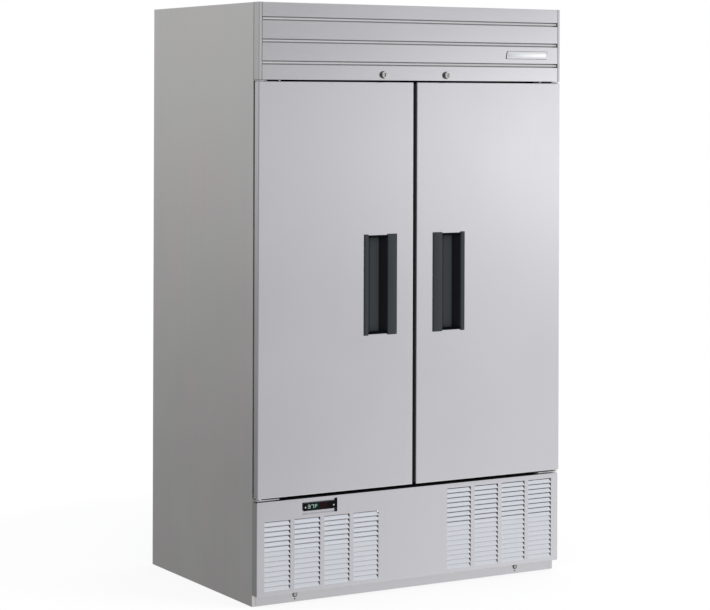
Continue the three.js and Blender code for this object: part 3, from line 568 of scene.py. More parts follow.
# ------------------------------------------------------------------ header
HX = XS - 0.0119
GROOVES = (1.789, 1.861, 1.934)
path = [(-0.3636, 1.733), (YF, 1.733)]
rad = [0.0, 0.0016]
for zc in GROOVES:
    path += [(YF, zc - 0.0068), (YF + 0.0140, zc - 0.0068), (YF + 0.0140, zc + 0.0068), (YF, zc + 0.0068)]
    rad += [0.0010, 0.0006, 0.0006, 0.0010]
path += [(YF, H), (YC - 0.0016, H)]
rad += [0.0022, 0.0]
rp = round_path(path, rad)
b = B()
b.prism(offset_closed([Vector((p.x, p.y)) for p in rp], -0.0012), "x", -HX + 0.0003, HX + 0.0005)
header = b.obj("header_fascia", ["steel_x", "groove"], replaces=["header_panel"], slot="stainless", angle=30)
cut = []
for s in (-1, 1):
    lx = s * 0.126
    cut.append(B().lathe([(0, -0.01), (0.0095, -0.01), (0.0095, 0.02), (0, 0.02)], (lx, YF, 1.752), (0, 1, 0), 40))
    x0, x1 = sorted((lx - s * 0.038, lx + s * 0.009)) if s > 0 else (lx - 0.009, lx + 0.038)
    cut.append(B().rbox(x0, x1, YF + 0.014, YF + 0.021, 1.731, 1.737, r=0))
bool_cut(header, cut)
# groove walls and floors take the darker steel: painted shade
for f in header.data.polygons:
    if f.center.y > YF + 0.0012 and any(abs(f.center.z - zc) < 0.0069 for zc in GROOVES):
        f.material_index = 1
for i, zc in enumerate(GROOVES):
    b = B()
    prof = [Vector(p) for p in ((YF + 0.0126, zc - 0.0022), (YF + 0.0018, zc - 0.0025), (YF + 0.0026, zc + 0.0030), (YF + 0.0126, zc + 0.0032))]
    b.prism([(p.x, p.y) for p in prof], "x", -HX + 0.0022, HX - 0.0026)
    b.obj(f"header_inlay_{i + 1}", "strip", slot="stainless", bevel=0.0005)
for s, nm in ((-1, "left"), (1, "right")):
    p = round_path([(s * XS, YC - 0.0030), (s * XS, YF), (s * (XS - 0.0108), YF), (s * (XS - 0.0108), YF + 0.012)], 0.0020, 4)
    o = B().prism(offset_closed([Vector((q.x, q.y)) for q in p], -0.0013 * s), "z", 1.733, H)
    # near-black strip filling the seam behind the trim: painted shade
    x0, x1 = sorted((s * (XS - 0.0016), s * (XS - 0.0004)))
    o.rbox(x0, x1, YC - 0.0029, YC - 0.0001, 1.7335, H - 0.0008, r=0.0002, mi=1)
    o = o.obj(f"header_trim_{nm}", ["steel_post_shaded", "black"], replaces=[f"header_{nm}_trim"], slot="stainless", angle=30)

# blank slanted plaque: a dished plate with a raised rim, and no lettering
def slant(x0, x1, z0, z1, inset, y, k=0.22, n=5):
    return [Vector((p.x + (p.z - (z0 + z1) / 2) * k, p.y, p.z)) for p in rrect(x0 + inset, x1 - inset, z0 + inset, z1 - inset, 0.005, y, n)]
b = B()
px = (0.375, 0.547, 1.8125, 1.8375)
b.loft([slant(*px, 0.0030, YF - 0.0002), slant(*px, 0.0030, YF - 0.0010), slant(*px, 0.0002, YF - 0.0012), slant(*px, 0.0, YF - 0.0026), slant(*px, 0.0006, YF - 0.0034), slant(*px, 0.0026, YF - 0.0034),
        slant(*px, 0.0036, YF - 0.0026), slant(*px, 0.0040, YF - 0.0016)])
b.loft([slant(*px, 0.0041, YF - 0.0018), slant(*px, 0.0041, YF - 0.0022), slant(*px, 0.0052, YF - 0.0026)])
# near-black outline just past the plate's edge: painted shadow round the plate
b.loft([slant(*px, -0.0012, YF - 0.0002), slant(*px, -0.0012, YF - 0.0007), slant(*px, -0.0008, YF - 0.0010)], mi=1)
o = b.obj("badge_blank_plate", ["plaque", "black"], replaces=["badge_plaque"], slot="aluminium", angle=30)
o.modifiers.clear()

# ------------------------------------------------------------------ locks
for s, nm in ((-1, "left"), (1, "right")):
    lx, z = s * 0.126, 1.752
    b = B()
    ring = [(0.0067, 0.013), (0.0067, -0.0096), (0.0072, -0.0104), (0.0086, -0.0108), (0.0108, -0.0106), (0.0117, -0.0100), (0.0121, -0.0088), (0.0123, -0.0014), (0.0130, -0.0006), (0.0088, -0.0006), (0.0088, 0.013)]
    rings = [[Vector((lx + r * math.cos(t), YF + d, z + r * math.sin(t))) for t in [2 * math.pi * i / 48 for i in range(48)]] for r, d in ring]
    b.loft(rings, closed=True)
    o = b.obj(f"{nm}_lock_bezel", ["chrome", "bezel_shaded_side"], replaces=[f"{nm}_lock_barrel"], slot="lock_metal", angle=30)
    # faces that face sideways take the dark metal: painted shade on the barrel's side
    for f in o.data.polygons:
        if abs(f.normal.y) < 0.75:
            f.material_index = 1
    b = B()
    prof = [(0, -0.0104), (0.0050, -0.0104), (0.0059, -0.0100), (0.0062, -0.0092), (0.0062, 0.0134), (0.0083, 0.0136), (0.0083, 0.0158), (0, 0.0158)]
    b.lathe(prof, (lx, YF, z), (0, 1, 0), 48)
    cx0, cx1 = (lx - 0.006, lx + 0.035) if s < 0 else (lx - 0.035, lx + 0.006)
    b.rbox(cx0, cx1, YF + 0.0160, YF + 0.0190, z - 0.006, z + 0.006, r=0.0012)
    o = b.obj(f"{nm}_lock_core", "chrome", f"{nm}_lock", replaces=[f"{nm}_lock_plug"], slot="lock_metal", angle=30)
    bool_cut(o, [B().rbox(lx - 0.0016, lx + 0.0016, YF - 0.012, YF - 0.004, z - 0.0050, z + 0.0050, r=0.0)])
    # near-black block at the back of the key slot: painted shade
    b = B().rbox(lx - 0.00150, lx + 0.00150, YF - 0.0085, YF - 0.0042, z - 0.0049, z + 0.0049, r=0.0002)
    b.obj(f"{nm}_keyway", "brass_dark", f"{nm}_lock", slot="lock_metal")

# ------------------------------------------------------------------ doors
D0, D1, DZ0, DZ1 = 0.007, XS, 0.35825, 1.727
HX0, HX1, HZ0, HZ1 = 0.0725, 0.2010, 0.874, 1.214
for s, nm in ((-1, "left"), (1, "right")):
    body = f"{nm}_door"

    def mx(a, c):
        return (a, c) if s > 0 else (-c, -a)

    # inner pan with its raised plug, fillets and a dished centre
    x0, x1 = mx(D0 + 0.0020, D1 - 0.0020)
    q0, q1 = mx(0.062, 0.537)
    z0, z1, w0, w1 = DZ0 + 0.0020, DZ1 - 0.0020, 0.421, 1.664
    R = [rrect(x0, x1, z0, z1, 0.002, YM - 0.0012), rrect(x0, x1, z0, z1, 0.002, YM)]
    for e, y, r in ((0.0065, YM, 0.031), (0.0035, YM + 0.0008, 0.029), (0.0015, YM + 0.0035, 0.028), (-0.0005, YM + 0.020, 0.027), (-0.0015, YM + 0.0270, 0.026),
                    (-0.0040, YM + 0.0305, 0.024), (-0.0075, YM + 0.0320, 0.022), (-0.050, YM + 0.0320, 0.020), (-0.0525, YM + 0.0312, 0.019),
                    (-0.0555, YM + 0.0285, 0.017), (-0.0600, YM + 0.0275, 0.015)):
        R.append(rrect(q0 - e, q1 + e, w0 - e, w1 + e, r, y))
    B().loft(R).obj(f"{nm}_door_inner_pan", "liner", body, replaces=[f"{nm}_door_core"], slot="inner_steel", angle=50)

    # magnetic gasket: bellows profile swept round the door
    g0, g1 = mx(D0 + 0.007, D1 - 0.017)
    gz0, gz1 = DZ0 + 0.008, DZ1 - 0.008
    prof = [(0.0022, -0.3694), (0.0006, -0.3690), (0.0012, -0.3676), (0.0002, -0.3658), (0.0012, -0.3640), (0.0004, -0.3622), (0.0016, -0.3602), (0.0048, -0.3595), (0.0078, -0.3599),
            (0.0090, -0.3609), (0.0102, -0.3599), (0.0132, -0.3595), (0.0164, -0.3602), (0.0176, -0.3622), (0.0168, -0.3640), (0.0178, -0.3658), (0.0168, -0.3676), (0.0174, -0.3690), (0.0158, -0.3694)]
    R = [rrect(g0 + e, g1 - e, gz0 + e, gz1 - e, max(0.001, 0.006 - e * 0.3), y, 3) for e, y in prof]
    B().loft(R, closed=True).obj(f"{nm}_door_seal", "rubber", body, replaces=[f"{nm}_door_gasket"], slot="gasket_rubber", angle=50)

    # recessed pull: flange, flat-bottomed trough and a proud grip bar along the free edge
    def prof2(pts, r, n=4):
        loop = [Vector(p) for p in pts]
        out = []
        k = len(loop)
        for i, p in enumerate(loop):
            a, c = loop[i - 1], loop[(i + 1) % k]
            rr = min(r, (a - p).length * 0.45, (c - p).length * 0.45)
            st, en = p + (a - p).normalized() * rr, p + (c - p).normalized() * rr
            for j in range(n + 1):
                t = j / n
                out.append(st.lerp(p, t).lerp(p.lerp(en, t), t))
        return [(s * v.x, v.y) for v in out]

    b = B()
    bar = [(HX0, YF - 0.0003), (HX0, YF - 0.0030), (HX0 + 0.0030, YF - 0.0048), (HX0 + 0.0185, YF - 0.0056), (HX0 + 0.0340, YF - 0.0050), (HX0 + 0.0372, YF - 0.0032), (HX0 + 0.0372, YF - 0.0003)]
    b.prism(prof2(bar, 0.0016), "z", HZ0, HZ1)
    fl = [(HX1, YF - 0.0003), (HX1, YF - 0.0030), (HX1 - 0.0020, YF - 0.0046), (HX1 - 0.0140, YF - 0.0046), (HX1 - 0.0162, YF - 0.0030), (HX1 - 0.0162, YF - 0.0003)]
    b.prism(prof2(fl, 0.0010), "z", HZ0, HZ1)
    TD = 0.0232
    inner = round_path([(HX1 - 0.0150, YF - 0.0026), (HX1 - 0.0166, YF + 0.0004), (0.1639, YF + TD), (0.1301, YF + TD), (HX0 + 0.0366, YF + 0.0004), (HX0 + 0.0350, YF - 0.0030)], 0.0022, 4)
    b.prism([(s * v.x, v.y) for v in offset_closed(inner, -0.0020)], "z", HZ0 + 0.0084, HZ1 - 0.0084)
    endp = [(HX1 - 0.0150, YF - 0.0020), (HX1 - 0.0166, YF + 0.0004), (0.1650, YF + TD + 0.001), (0.1290, YF + TD + 0.001), (HX0 + 0.0366, YF + 0.0004), (HX0 + 0.0345, YF - 0.0020)]
    # end walls and pads in the non-reflecting near-black plastic close the trough ends: painted shade
    for za, zb in ((HZ0 + 0.0084, HZ0 + 0.0104), (HZ1 - 0.0104, HZ1 - 0.0084)):
        b.prism([(s * u, v) for u, v in endp], "z", za, zb, mi=2)
    x0, x1 = mx(HX0 + 0.034, HX1 - 0.012)
    for lo_z, hi_z in ((HZ0 + 0.0032, HZ0 + 0.0108), (HZ1 - 0.0108, HZ1 - 0.0032)):
        b.rbox(x0, x1, YF - 0.0020, YF - 0.0002, lo_z, hi_z, r=0.0006, mi=2)
    o = b.obj(f"{nm}_door_pull", ["handle", "handle_pit", "pit_end"], body, replaces=[f"{nm}_door_handle"], slot="handle_plastic", angle=30)
    # trough walls facing -X take the darker plastic: painted shade
    for f in o.data.polygons:
        if f.material_index == 0 and f.center.y > YF + 0.0006 and f.normal.x < -0.35:
            f.material_index = 1
    # dark grey strip along the free edge of the pan, painted shade in the gap between the doors, and a near-black
    # strip under the door, painted shade in the gap below
    x0, x1 = mx(D0 - 0.0009, D0 - 0.0001)
    b = B().rbox(x0, x1, YF + 0.0022, YM - 0.0006, DZ0 + 0.004, DZ1 - 0.004, r=0.0003)
    x0, x1 = mx(D0 + 0.0008, D1 - 0.088)
    b.rbox(x0, x1, YF + 0.0030, YM - 0.0006, DZ0 - 0.0009, DZ0 - 0.0001, r=0.0003, mi=1)
    b.obj(f"{nm}_door_gap_shade_strip", ["edge", "black"], body, slot="gasket_rubber")

# ------------------------------------------------------------------ lower panel with lanced louvres
def breaks(vals):
    return sorted(set(round(v, 6) for v in vals))


rows_l = [0.0515 + 0.0165 * r for r in range(14)]
rows_r = [0.0515 + 0.0165 * r for r in range(17)]
cols_l = [-(0.138 + 0.113 * c) - 0.097 for c in range(4)]
cols_r = [0.138 + 0.113 * c for c in range(4)]
LH = 0.0140                                    # louvre opening height
TX0, TX1, TZ0, TZ1 = -0.4325, -0.2985, 0.292, 0.338
xs = breaks([-XS + 0.002, XS - 0.002, TX0, TX1] + [c for c in cols_l + cols_r] + [c + 0.097 for c in cols_l + cols_r])
zs = breaks([0.037 + 0.002, 0.3466 - 0.002, TZ0, TZ1] + rows_r + [r + LH for r in rows_r])
holes = set()
for cl, rw in ((cols_l, rows_l), (cols_r, rows_r)):
    for c in cl:
        for r in rw:
            holes.add((round(c, 6), round(c + 0.097, 6), round(r, 6), round(r + LH, 6)))
holes.add((TX0, TX1, TZ0, TZ1))
b = B()


def in_hole(x, z):
    return any(h[0] < x < h[1] and h[2] < z < h[3] for h in holes)


for i in range(len(xs) - 1):
    for j in range(len(zs) - 1):
        if not in_hole((xs[i] + xs[i + 1]) / 2, (zs[j] + zs[j + 1]) / 2):
            b.add([(xs[i], PY, zs[j]), (xs[i + 1], PY, zs[j]), (xs[i + 1], PY, zs[j + 1]), (xs[i], PY, zs[j + 1])], [(0, 1, 2, 3)])
# folded returns, radius 2 mm; the two side returns take a darker copy of the steel, painted shade
back = {"side": -0.3597, "top": -0.3645}
fold = [(0.002 - 0.002 * math.cos(math.radians(a)), 0.002 * math.sin(math.radians(a))) for a in (0, 22.5, 45, 67.5, 90)]   # (back, out)


def fold_strip(p0, p1, out, end, cuts, mi=0):
    """A return along the edge p0-p1: bends round 2 mm towards +Y, then runs to y = end."""
    ps = [Vector(p0).lerp(Vector(p1), t) for t in cuts]
    prof = [(d, o) for d, o in fold] + [(end - PY, 0.002)]
    for a, c in zip(ps[:-1], ps[1:]):
        for (d1, o1), (d2, o2) in zip(prof[:-1], prof[1:]):
            q = [a + Vector(out) * o1 + Vector((0, d1, 0)), c + Vector(out) * o1 + Vector((0, d1, 0)), c + Vector(out) * o2 + Vector((0, d2, 0)), a + Vector(out) * o2 + Vector((0, d2, 0))]
            b.add(q, [(0, 1, 2, 3)], mi)


tz = [(z - zs[0]) / (zs[-1] - zs[0]) for z in zs]
tx = [(x - xs[0]) / (xs[-1] - xs[0]) for x in xs]
fold_strip((xs[0], PY, zs[0]), (xs[0], PY, zs[-1]), (-1, 0, 0), back["side"], tz, 1)
fold_strip((xs[-1], PY, zs[0]), (xs[-1], PY, zs[-1]), (1, 0, 0), back["side"], tz, 1)
fold_strip((xs[0], PY, zs[0]), (xs[-1], PY, zs[0]), (0, 0, -1), back["top"], tx)
fold_strip((xs[0], PY, zs[-1]), (xs[-1], PY, zs[-1]), (0, 0, 1), back["top"], tx)
# louvre blades: lanced flaps bent in about their lower edge, in a lighter, bluish copy of the steel that paints the
# sky's reflection
R0 = 0.0022
for (x0, x1, z0, z1) in holes:
    if (x0, z0) == (TX0, TZ0):
        continue
    ztop = 0.0515 + 0.0165 * ((16 if x0 > 0 else 13) - (8 if x0 > 0 else 6))
    upper = z0 > ztop
    BEND = math.radians(22 if upper else 17)
    L = (0.0116 if x0 > 0 else 0.0124) if upper else 0.0143
    pts = [(0.0, 0.0)]
    n = 4
    for k in range(1, n + 1):
        a = BEND * k / n
        pts.append((R0 * (1 - math.cos(a)), R0 * math.sin(a)))
    rest = L - R0 * BEND
    pts.append((pts[n][0] + rest * 0.55 * math.sin(BEND), pts[n][1] + rest * 0.55 * math.cos(BEND)))
    pts.append((pts[n][0] + rest * math.sin(BEND), pts[n][1] + rest * math.cos(BEND)))
    for (d1, h1), (d2, h2) in zip(pts[:-1], pts[1:]):
        e1, e2 = 0.0020 * h1 / LH, 0.0020 * h2 / LH
        b.add([(x0 + e1, PY + d1, z0 + h1), (x1 - 3.2 * e1, PY + d1, z0 + h1), (x1 - 3.2 * e2, PY + d2, z0 + h2), (x0 + e2, PY + d2, z0 + h2)], [(0, 1, 2, 3)], 2)
me_panel = b.obj("louvred_panel", ["steel_z", "steel_return_shaded", "louvre"], replaces=["lower_panel"], slot="stainless", angle=50)
# make every face look forwards or outwards, then give the sheet its thickness inwards
bm = bmesh.new()
bm.from_mesh(me_panel.data)
for f in bm.faces:
    c, nrm = f.calc_center_median(), f.normal
    want = Vector((0, -1, 0))
    if c.y > PY + 0.0019 and f.material_index != 2:
        want = Vector((-1 if c.x < -XS + 0.003 else 1 if c.x > XS - 0.003 else 0, 0, -1 if c.z < 0.0385 else 1 if c.z > 0.3448 else 0))
        if abs(want.x):
            want.z = 0
    if nrm.dot(want) < 0:
        f.normal_flip()
bm.to_mesh(me_panel.data)
bm.free()
me_panel.modifiers.clear()
sm = me_panel.modifiers.new("sheet", "SOLIDIFY")
sm.thickness, sm.offset, sm.use_even_offset = 0.0011, -1.0, False
weighted(me_panel)

# near-black sheet behind the louvres, painted shade, so that the openings read as depth
b = B()
for x0, x1, z1 in ((-0.590, -0.120, 0.290), (0.120, 0.590, 0.338)):
    b.rbox(x0, x1, -0.3520, -0.3505, 0.045, z1, r=0.0004)
b.obj("louvre_shade_backing", "paint", slot="black_paint")

# ------------------------------------------------------------------ thermostat
b = B()
yb = PY + 0.0105                                # floor of the recess
pk = [rrect(TX0 + e, TX1 - e, TZ0 + e, TZ1 - e, 0.0010, y, 2) for e, y in
      ((0.0001, PY + 0.0002), (0.0001, yb), (0.0090, yb), (0.0090, yb + 0.001), (-0.0008, yb + 0.001), (-0.0008, PY + 0.0012))]
b.loft(pk, closed=True, mi=1)
cx0, cx1, cz0, cz1 = -0.4250, -0.3008, 0.3040, 0.3286
y0 = PY + 0.0012
rings = [rrect(cx0 + e, cx1 - e, cz0 + e, cz1 - e, 0.0028, y, 4) for e, y in
         ((0.0, yb + 0.016), (0.0, y0 + 0.0012), (0.0003, y0 + 0.0004), (0.0010, y0), (0.0022, y0), (0.0026, y0 + 0.0007))]
b.loft(rings)
o = b.obj("thermostat_body", ["display", "steel_z", "display"], replaces=["thermostat_housing"], slot="display_plastic", angle=30)
# pocket walls facing -X take the black display plastic: painted shade on the pocket's right wall
for f in o.data.polygons:
    if f.material_index == 1 and f.normal.x < -0.5:
        f.material_index = 2
BUT = (-0.420, -0.3125)
bool_cut(o, [B().lathe([(0, -0.01), (0.0032, -0.01), (0.0032, 0.03), (0, 0.03)], (x, y0, 0.315), (0, 1, 0), 24) for x in BUT])
b = B()
wy = y0 + 0.0003
for x0, x1, mi in ((-0.4140, -0.3650, 1), (-0.3646, -0.3340, 2), (-0.3336, -0.3180, 0)):
    b.loft([rrect(x0, x1, 0.3062, 0.3262, 0.0010, wy + 0.0006, 3), rrect(x0, x1, 0.3062, 0.3262, 0.0010, wy, 3), rrect(x0 + 0.0003, x1 - 0.0003, 0.3065, 0.3259, 0.0008, wy - 0.0002, 3)], mi=mi)
b.obj("thermostat_lens", ["display", "lens_green", "lens_red"], replaces=["thermostat_window"], slot="display_plastic", angle=30)
# three seven-segment characters: a generic reading
SEG = {"3": "abgcd", "7": "abc", "F": "afge"}
b = B()
for k, ch in enumerate("37F"):
    ox, oz, w, h, th = -0.4100 + k * 0.0130, 0.3108, 0.0092, 0.0120, 0.0020
    seg = {"a": (0, w, h - th, h), "g": (0, w, h / 2 - th / 2, h / 2 + th / 2), "d": (0, w, 0, th), "f": (0, th, h / 2, h), "b": (w - th, w, h / 2, h), "e": (0, th, 0, h / 2), "c": (w - th, w, 0, h / 2)}
    for q in SEG[ch]:
        a0, a1, c0, c1 = seg[q]
        b.rbox(ox + a0 + 0.0002, ox + a1 - 0.0002, wy - 0.0007, wy - 0.0003, oz + c0 + 0.0002, oz + c1 - 0.0002, r=0.00015, seg=1)
b.obj("thermostat_digits", "led", slot="display_plastic")
for x, nm in zip(BUT, ("left", "right")):
    b = B().lathe([(0, -0.0016), (0.0018, -0.0015), (0.0026, -0.0011), (0.0029, -0.0004), (0.0029, 0.0130), (0, 0.0130)], (x, y0, 0.315), (0, 1, 0), 28)
    b.obj(f"thermostat_key_{nm}", "chrome", f"button_{nm}", replaces=[f"thermostat_button_{nm}"], slot="lock_metal", angle=35)

# ------------------------------------------------------------------ fasteners
def screw(b, x, y, z, ax, r=0.0045, h=0.0022, mi=0):
    """Pan head with a cross recess."""
    a = Vector(ax).normalized()
    prof = [(0, -0.0004), (r, -0.0004), (r, h * 0.35), (r * 0.92, h * 0.65), (r * 0.7, h * 0.92), (r * 0.46, h), (r * 0.40, h * 0.45), (0, h * 0.40)]
    b.lathe(prof, (x, y, z), a, 20, mi)
    u = a.orthogonal().normalized()
    w = a.cross(u)
    for d in (u, w):
        o = a.cross(d)
        c = Vector((x, y, z)) + a * (h * 0.62)
        q = [c + d * (sx * r * 0.62) + o * (sy * r * 0.12) + a * (sz * h * 0.28) for sx in (-1, 1) for sy in (-1, 1) for sz in (-1, 1)]
        b.add(q, [(0, 1, 3, 2), (4, 6, 7, 5), (0, 4, 5, 1), (2, 3, 7, 6), (0, 2, 6, 4), (1, 5, 7, 3)], mi)


for s, nm in ((-1, "left"), (1, "right")):
    b = B()
    x = s * 0.442
    rings = [[Vector((x + r * math.cos(t), YC + d, 0.024 + r * math.sin(t))) for t in [2 * math.pi * i / 32 for i in range(32)]] for r, d in
             ((0.0062, -0.0002), (0.0062, -0.0018), (0.0056, -0.0028), (0.0046, -0.0032), (0.0040, -0.0024), (0.0034, -0.0010), (0.0002, -0.0008))]
    b.loft(rings)
    screw(b, x, YC - 0.0010, 0.024, (0, -1, 0), 0.0030, 0.0022)
    b.lathe([(0.0062, -0.0002), (0.0090, -0.0002), (0.0090, -0.0006), (0.0086, -0.0009), (0.0062, -0.0009)], (x, YC, 0.024), (0, 1, 0), 32, 1)
    b.lathe([(0, 0.0002), (0.0031, 0.0002), (0.0031, 0.0011), (0, 0.0011)], (x, YC, 0.009), (0, 1, 0), 20, 1)
    b.obj(f"plinth_fixing_{nm}", ["chrome", "black"], replaces=[f"plinth_screw_{nm}"], slot="lock_metal", angle=30)

b = B()
for x in (-0.575, -0.29, 0.0, 0.29, 0.575):
    for z in (0.365, 1.972):
        screw(b, x, YB - 0.0001, z, (0, 1, 0))
for x in (-0.575, -0.17, 0.17, 0.575):
    for z in (0.036, 0.328):
        screw(b, x, YB - 0.0001, z, (0, 1, 0))
for z in (0.62, 0.88, 1.14, 1.40, 1.66):
    for x in (-0.575, 0.575):
        screw(b, x, YB - 0.0001, z, (0, 1, 0))
b.obj("rear_screws", "chrome", slot="lock_metal", angle=30)
b = B()
for s in (-1, 1):
    for x in (0.535, 0.560):
        screw(b, s * x, YC - 0.0033, 0.333, (0, -1, 0), 0.0038)
        screw(b, s * x, YC - 0.0033, 1.750, (0, -1, 0), 0.0038)
b.obj("hinge_screws", "chrome", slot="lock_metal", angle=30)

# near-black strips in the gaps above and below the doors, painted shade that keeps the gaps dark, and nylon collars on
# the hinge pins
b = B()
b.rbox(-0.516, 0.516, PY + 0.0026, -0.3650, 0.3467, 0.3506, r=0.0005)
b.rbox(-0.516, 0.516, -0.3606, -0.3593, 0.3500, 0.3655, r=0.0005)
b.rbox(-0.516, 0.516, -0.3606, -0.3593, 0 + 1.7215, 1.7325, r=0.0005)
b.rbox(-0.516, 0.516, YF + 0.0030, -0.3836, 1.7318, 1.7329, r=0.0004)
b.rbox(-0.516, 0.516, -0.3754, -0.3650, 1.7318, 1.7329, r=0.0004)
for x0, x1 in ((-0.516, -0.137), (-0.115, 0.115), (0.137, 0.516)):
    b.rbox(x0, x1, -0.3835, -0.3755, 1.7318, 1.7329, r=0.0003)
b.obj("gap_shade_fill_strips", "black", slot="gasket_rubber")
b = B()
for s in (-1, 1):
    for za, zb in ((0.35385, 0.35805), (1.72725, 1.72865)):
        rings = [[Vector((s * 0.591 + r * math.cos(t), -0.383 + r * math.sin(t), z)) for t in [2 * math.pi * i / 28 for i in range(28)]] for r, z in
                 ((0.0054, za), (0.0078, za), (0.0082, (za + zb) / 2), (0.0078, zb), (0.0054, zb))]
        b.loft(rings, closed=True)
    a, c = sorted((s * 0.527, s * 0.570))
    # near-black sliver in the gap above each top hinge: painted shade
    b.rbox(a, c, -0.3932, -0.3914, 1.7276, 1.7318, r=0.0004)
b.obj("hinge_collars", "black", slot="tube_plastic", angle=35)

# strain relief and folded supply cord on the back
b = B()
b.lathe([(0, 0.0), (0.0125, 0.0), (0.0125, 0.0022), (0.0095, 0.0034), (0.0080, 0.0085), (0.0062, 0.0120), (0, 0.0120)], (0.52, YB - 0.0035, 0.300), (0, 1, 0), 24)
loop = []
for i in range(49):
    t = i / 48
    if t < 0.12:
        u = t / 0.12
        loop.append((0.52, YB + 0.0040 + 0.0020 * u, 0.300 - 0.006 * u))
    else:
        u = (t - 0.12) / 0.88
        loop.append((0.52 - 0.030 * math.sin(u * math.pi * 2.0), YB + 0.0060 + 0.0012 * math.cos(u * 7) * (1 - u) + 0.0026 * u * u, 0.294 - 0.186 * u))
b.tube(loop, 0.0036, 10)
py = YB + 0.0086
b.lathe([(0, 0), (0.0050, 0), (0.0052, 0.0040), (0.0046, 0.0052), (0.0054, 0.0064), (0.0056, 0.0110), (0, 0.0110)], (0.52, py, 0.110), (0, 0, -1), 20)
b.rbox(0.5075, 0.5325, py - 0.0080, py + 0.0080, 0.0660, 0.1010, r=0.0035)
b.obj("supply_cord", "cord", slot="tube_plastic", angle=40)
b = B()
for x in (0.5137, 0.5263):
    b.rbox(x - 0.0008, x + 0.0008, py - 0.0062, py + 0.0002, 0.0480, 0.0655, r=0.0003)
b.lathe([(0, 0), (0.0024, 0), (0.0024, 0.0180), (0.0014, 0.0205), (0, 0.0205)], (0.52, py + 0.0044, 0.0655), (0, 0, -1), 16)
b.obj("cord_plug_pins", "chrome", slot="lock_metal", angle=40)

# ------------------------------------------------------------------ inside: racks, shelves, evaporator guard
SHELF_Z = (0.640, 0.940, 1.240)
LX = 0.553
for nm in ("left", "right", "centre"):
    b = B()
    posts = {"left": [(-LX + 0.0008, -LX + 0.013)], "right": [(LX - 0.013, LX - 0.0008)], "centre": [(-0.009, 0.009)]}[nm]
    for x0, x1 in posts:
        for y0, y1 in ((-0.298, -0.282), (0.288, 0.304)):
            # pilaster: a channel with a ladder of slots
            n = 60
            z0, z1 = 0.3988, 1.640
            faces = {"left": [x1], "right": [x0], "centre": [x0, x1]}[nm]
            b.rbox(x0 + 0.0012, x1 - 0.0012, y0, y1, z0, z1, r=0.0012, mi=1)
            for fx in faces:
                out = 0.0012 if fx == x1 else -0.0012
                zz = z0 + 0.012
                a, c = sorted((fx, fx - out))
                for yy0, yy1 in ((y0, y0 + 0.0045), (y1 - 0.0045, y1)):
                    b.rbox(a, c, yy0, yy1, z0, z1, r=0.0003, seg=1)
                k = 0
                while zz < z1 - 0.02:
                    b.rbox(a, c, y0 + 0.0040, y1 - 0.0040, zz, zz + 0.0145, r=0.0002, seg=1)
                    zz += 0.0254
                    k += 1
    for z in SHELF_Z:
        arms = {"left": [(-LX + 0.0142, -LX + 0.0250)], "right": [(LX - 0.0250, LX - 0.0142)], "centre": [(-0.0210, -0.0092), (0.0092, 0.0210)]}[nm]
        for x0, x1 in arms:
            for yc in (-0.290, 0.296):
                b.rbox(x0, x1, yc - 0.008, yc + 0.008, z - 0.0040, z - 0.0012, r=0.0008)
                w = x1 if abs(x1) < abs(x0) else x0
                hub = x0 if w == x1 else x1
                a, c = sorted((hub, hub + (0.0026 if w > hub else -0.0026)))
                b.rbox(a, c, yc - 0.0060, yc + 0.0060, z - 0.020, z - 0.0030, r=0.0006)
    b.obj(f"{nm}_shelf_pilasters", ["liner", "paint"], replaces=[f"{nm}_shelf_rack"], slot="inner_steel", angle=30)

for i, z in enumerate(SHELF_Z):
    lv = ("lower", "middle", "upper")[i]
    for s, nm in ((-1, "left"), (1, "right")):
        a, c = (-LX + 0.0155, -0.0115) if s < 0 else (0.0115, LX - 0.0155)
        ya, yb2 = -0.2935, 0.3135
        b = B()
        r = 0.0030
        zc = z + 0.0030
        # frame wire with rounded corners
        pts = [(p.x, p.z, zc) for p in rrect(a + r, c - r, ya + r, yb2 - r, 0.012, 0.0, 4)]
        b.tube([Vector(p) for p in pts], r, 10, closed=True)
        for yy in (-0.15, 0.01, 0.17):
            b.tube([(a + r, yy, zc - 0.0008), (c - r, yy, zc - 0.0008)], 0.0022, 8)
        n = 21
        for k in range(1, n):
            x = a + (c - a) * k / n
            b.tube([(x, ya + r, zc + 0.0014), (x, yb2 - r, zc + 0.0014)], 0.0016, 8)
        b.obj(f"{nm}_{lv}_wire_shelf", "wire", replaces=[f"{nm}_{lv}_shelf"], slot="shelf_wire", angle=50)

# evaporator fan guard under the housing
b = B()
for r in (0.030, 0.045, 0.060, 0.075, 0.090):
    b.tube([(r * math.cos(t), -0.090 + r * math.sin(t), 1.6978) for t in [2 * math.pi * i / 40 for i in range(40)]], 0.0011, 6, closed=True)
for k in range(4):
    a = math.pi * k / 4
    b.tube([(0.093 * math.cos(a), -0.090 + 0.093 * math.sin(a), 1.6985), (-0.093 * math.cos(a), -0.090 - 0.093 * math.sin(a), 1.6985)], 0.0013, 6)
b.obj("evaporator_fan_guard", "wire", slot="aluminium", angle=50)
b = B()
for x in (-0.45, -0.15, 0.15, 0.45):
    for y in (-0.185, 0.285):
        screw(b, x, y, 1.7001, (0, 0, -1), 0.004, 0.002)
b.obj("evaporator_screws", "chrome", slot="lock_metal", angle=30)

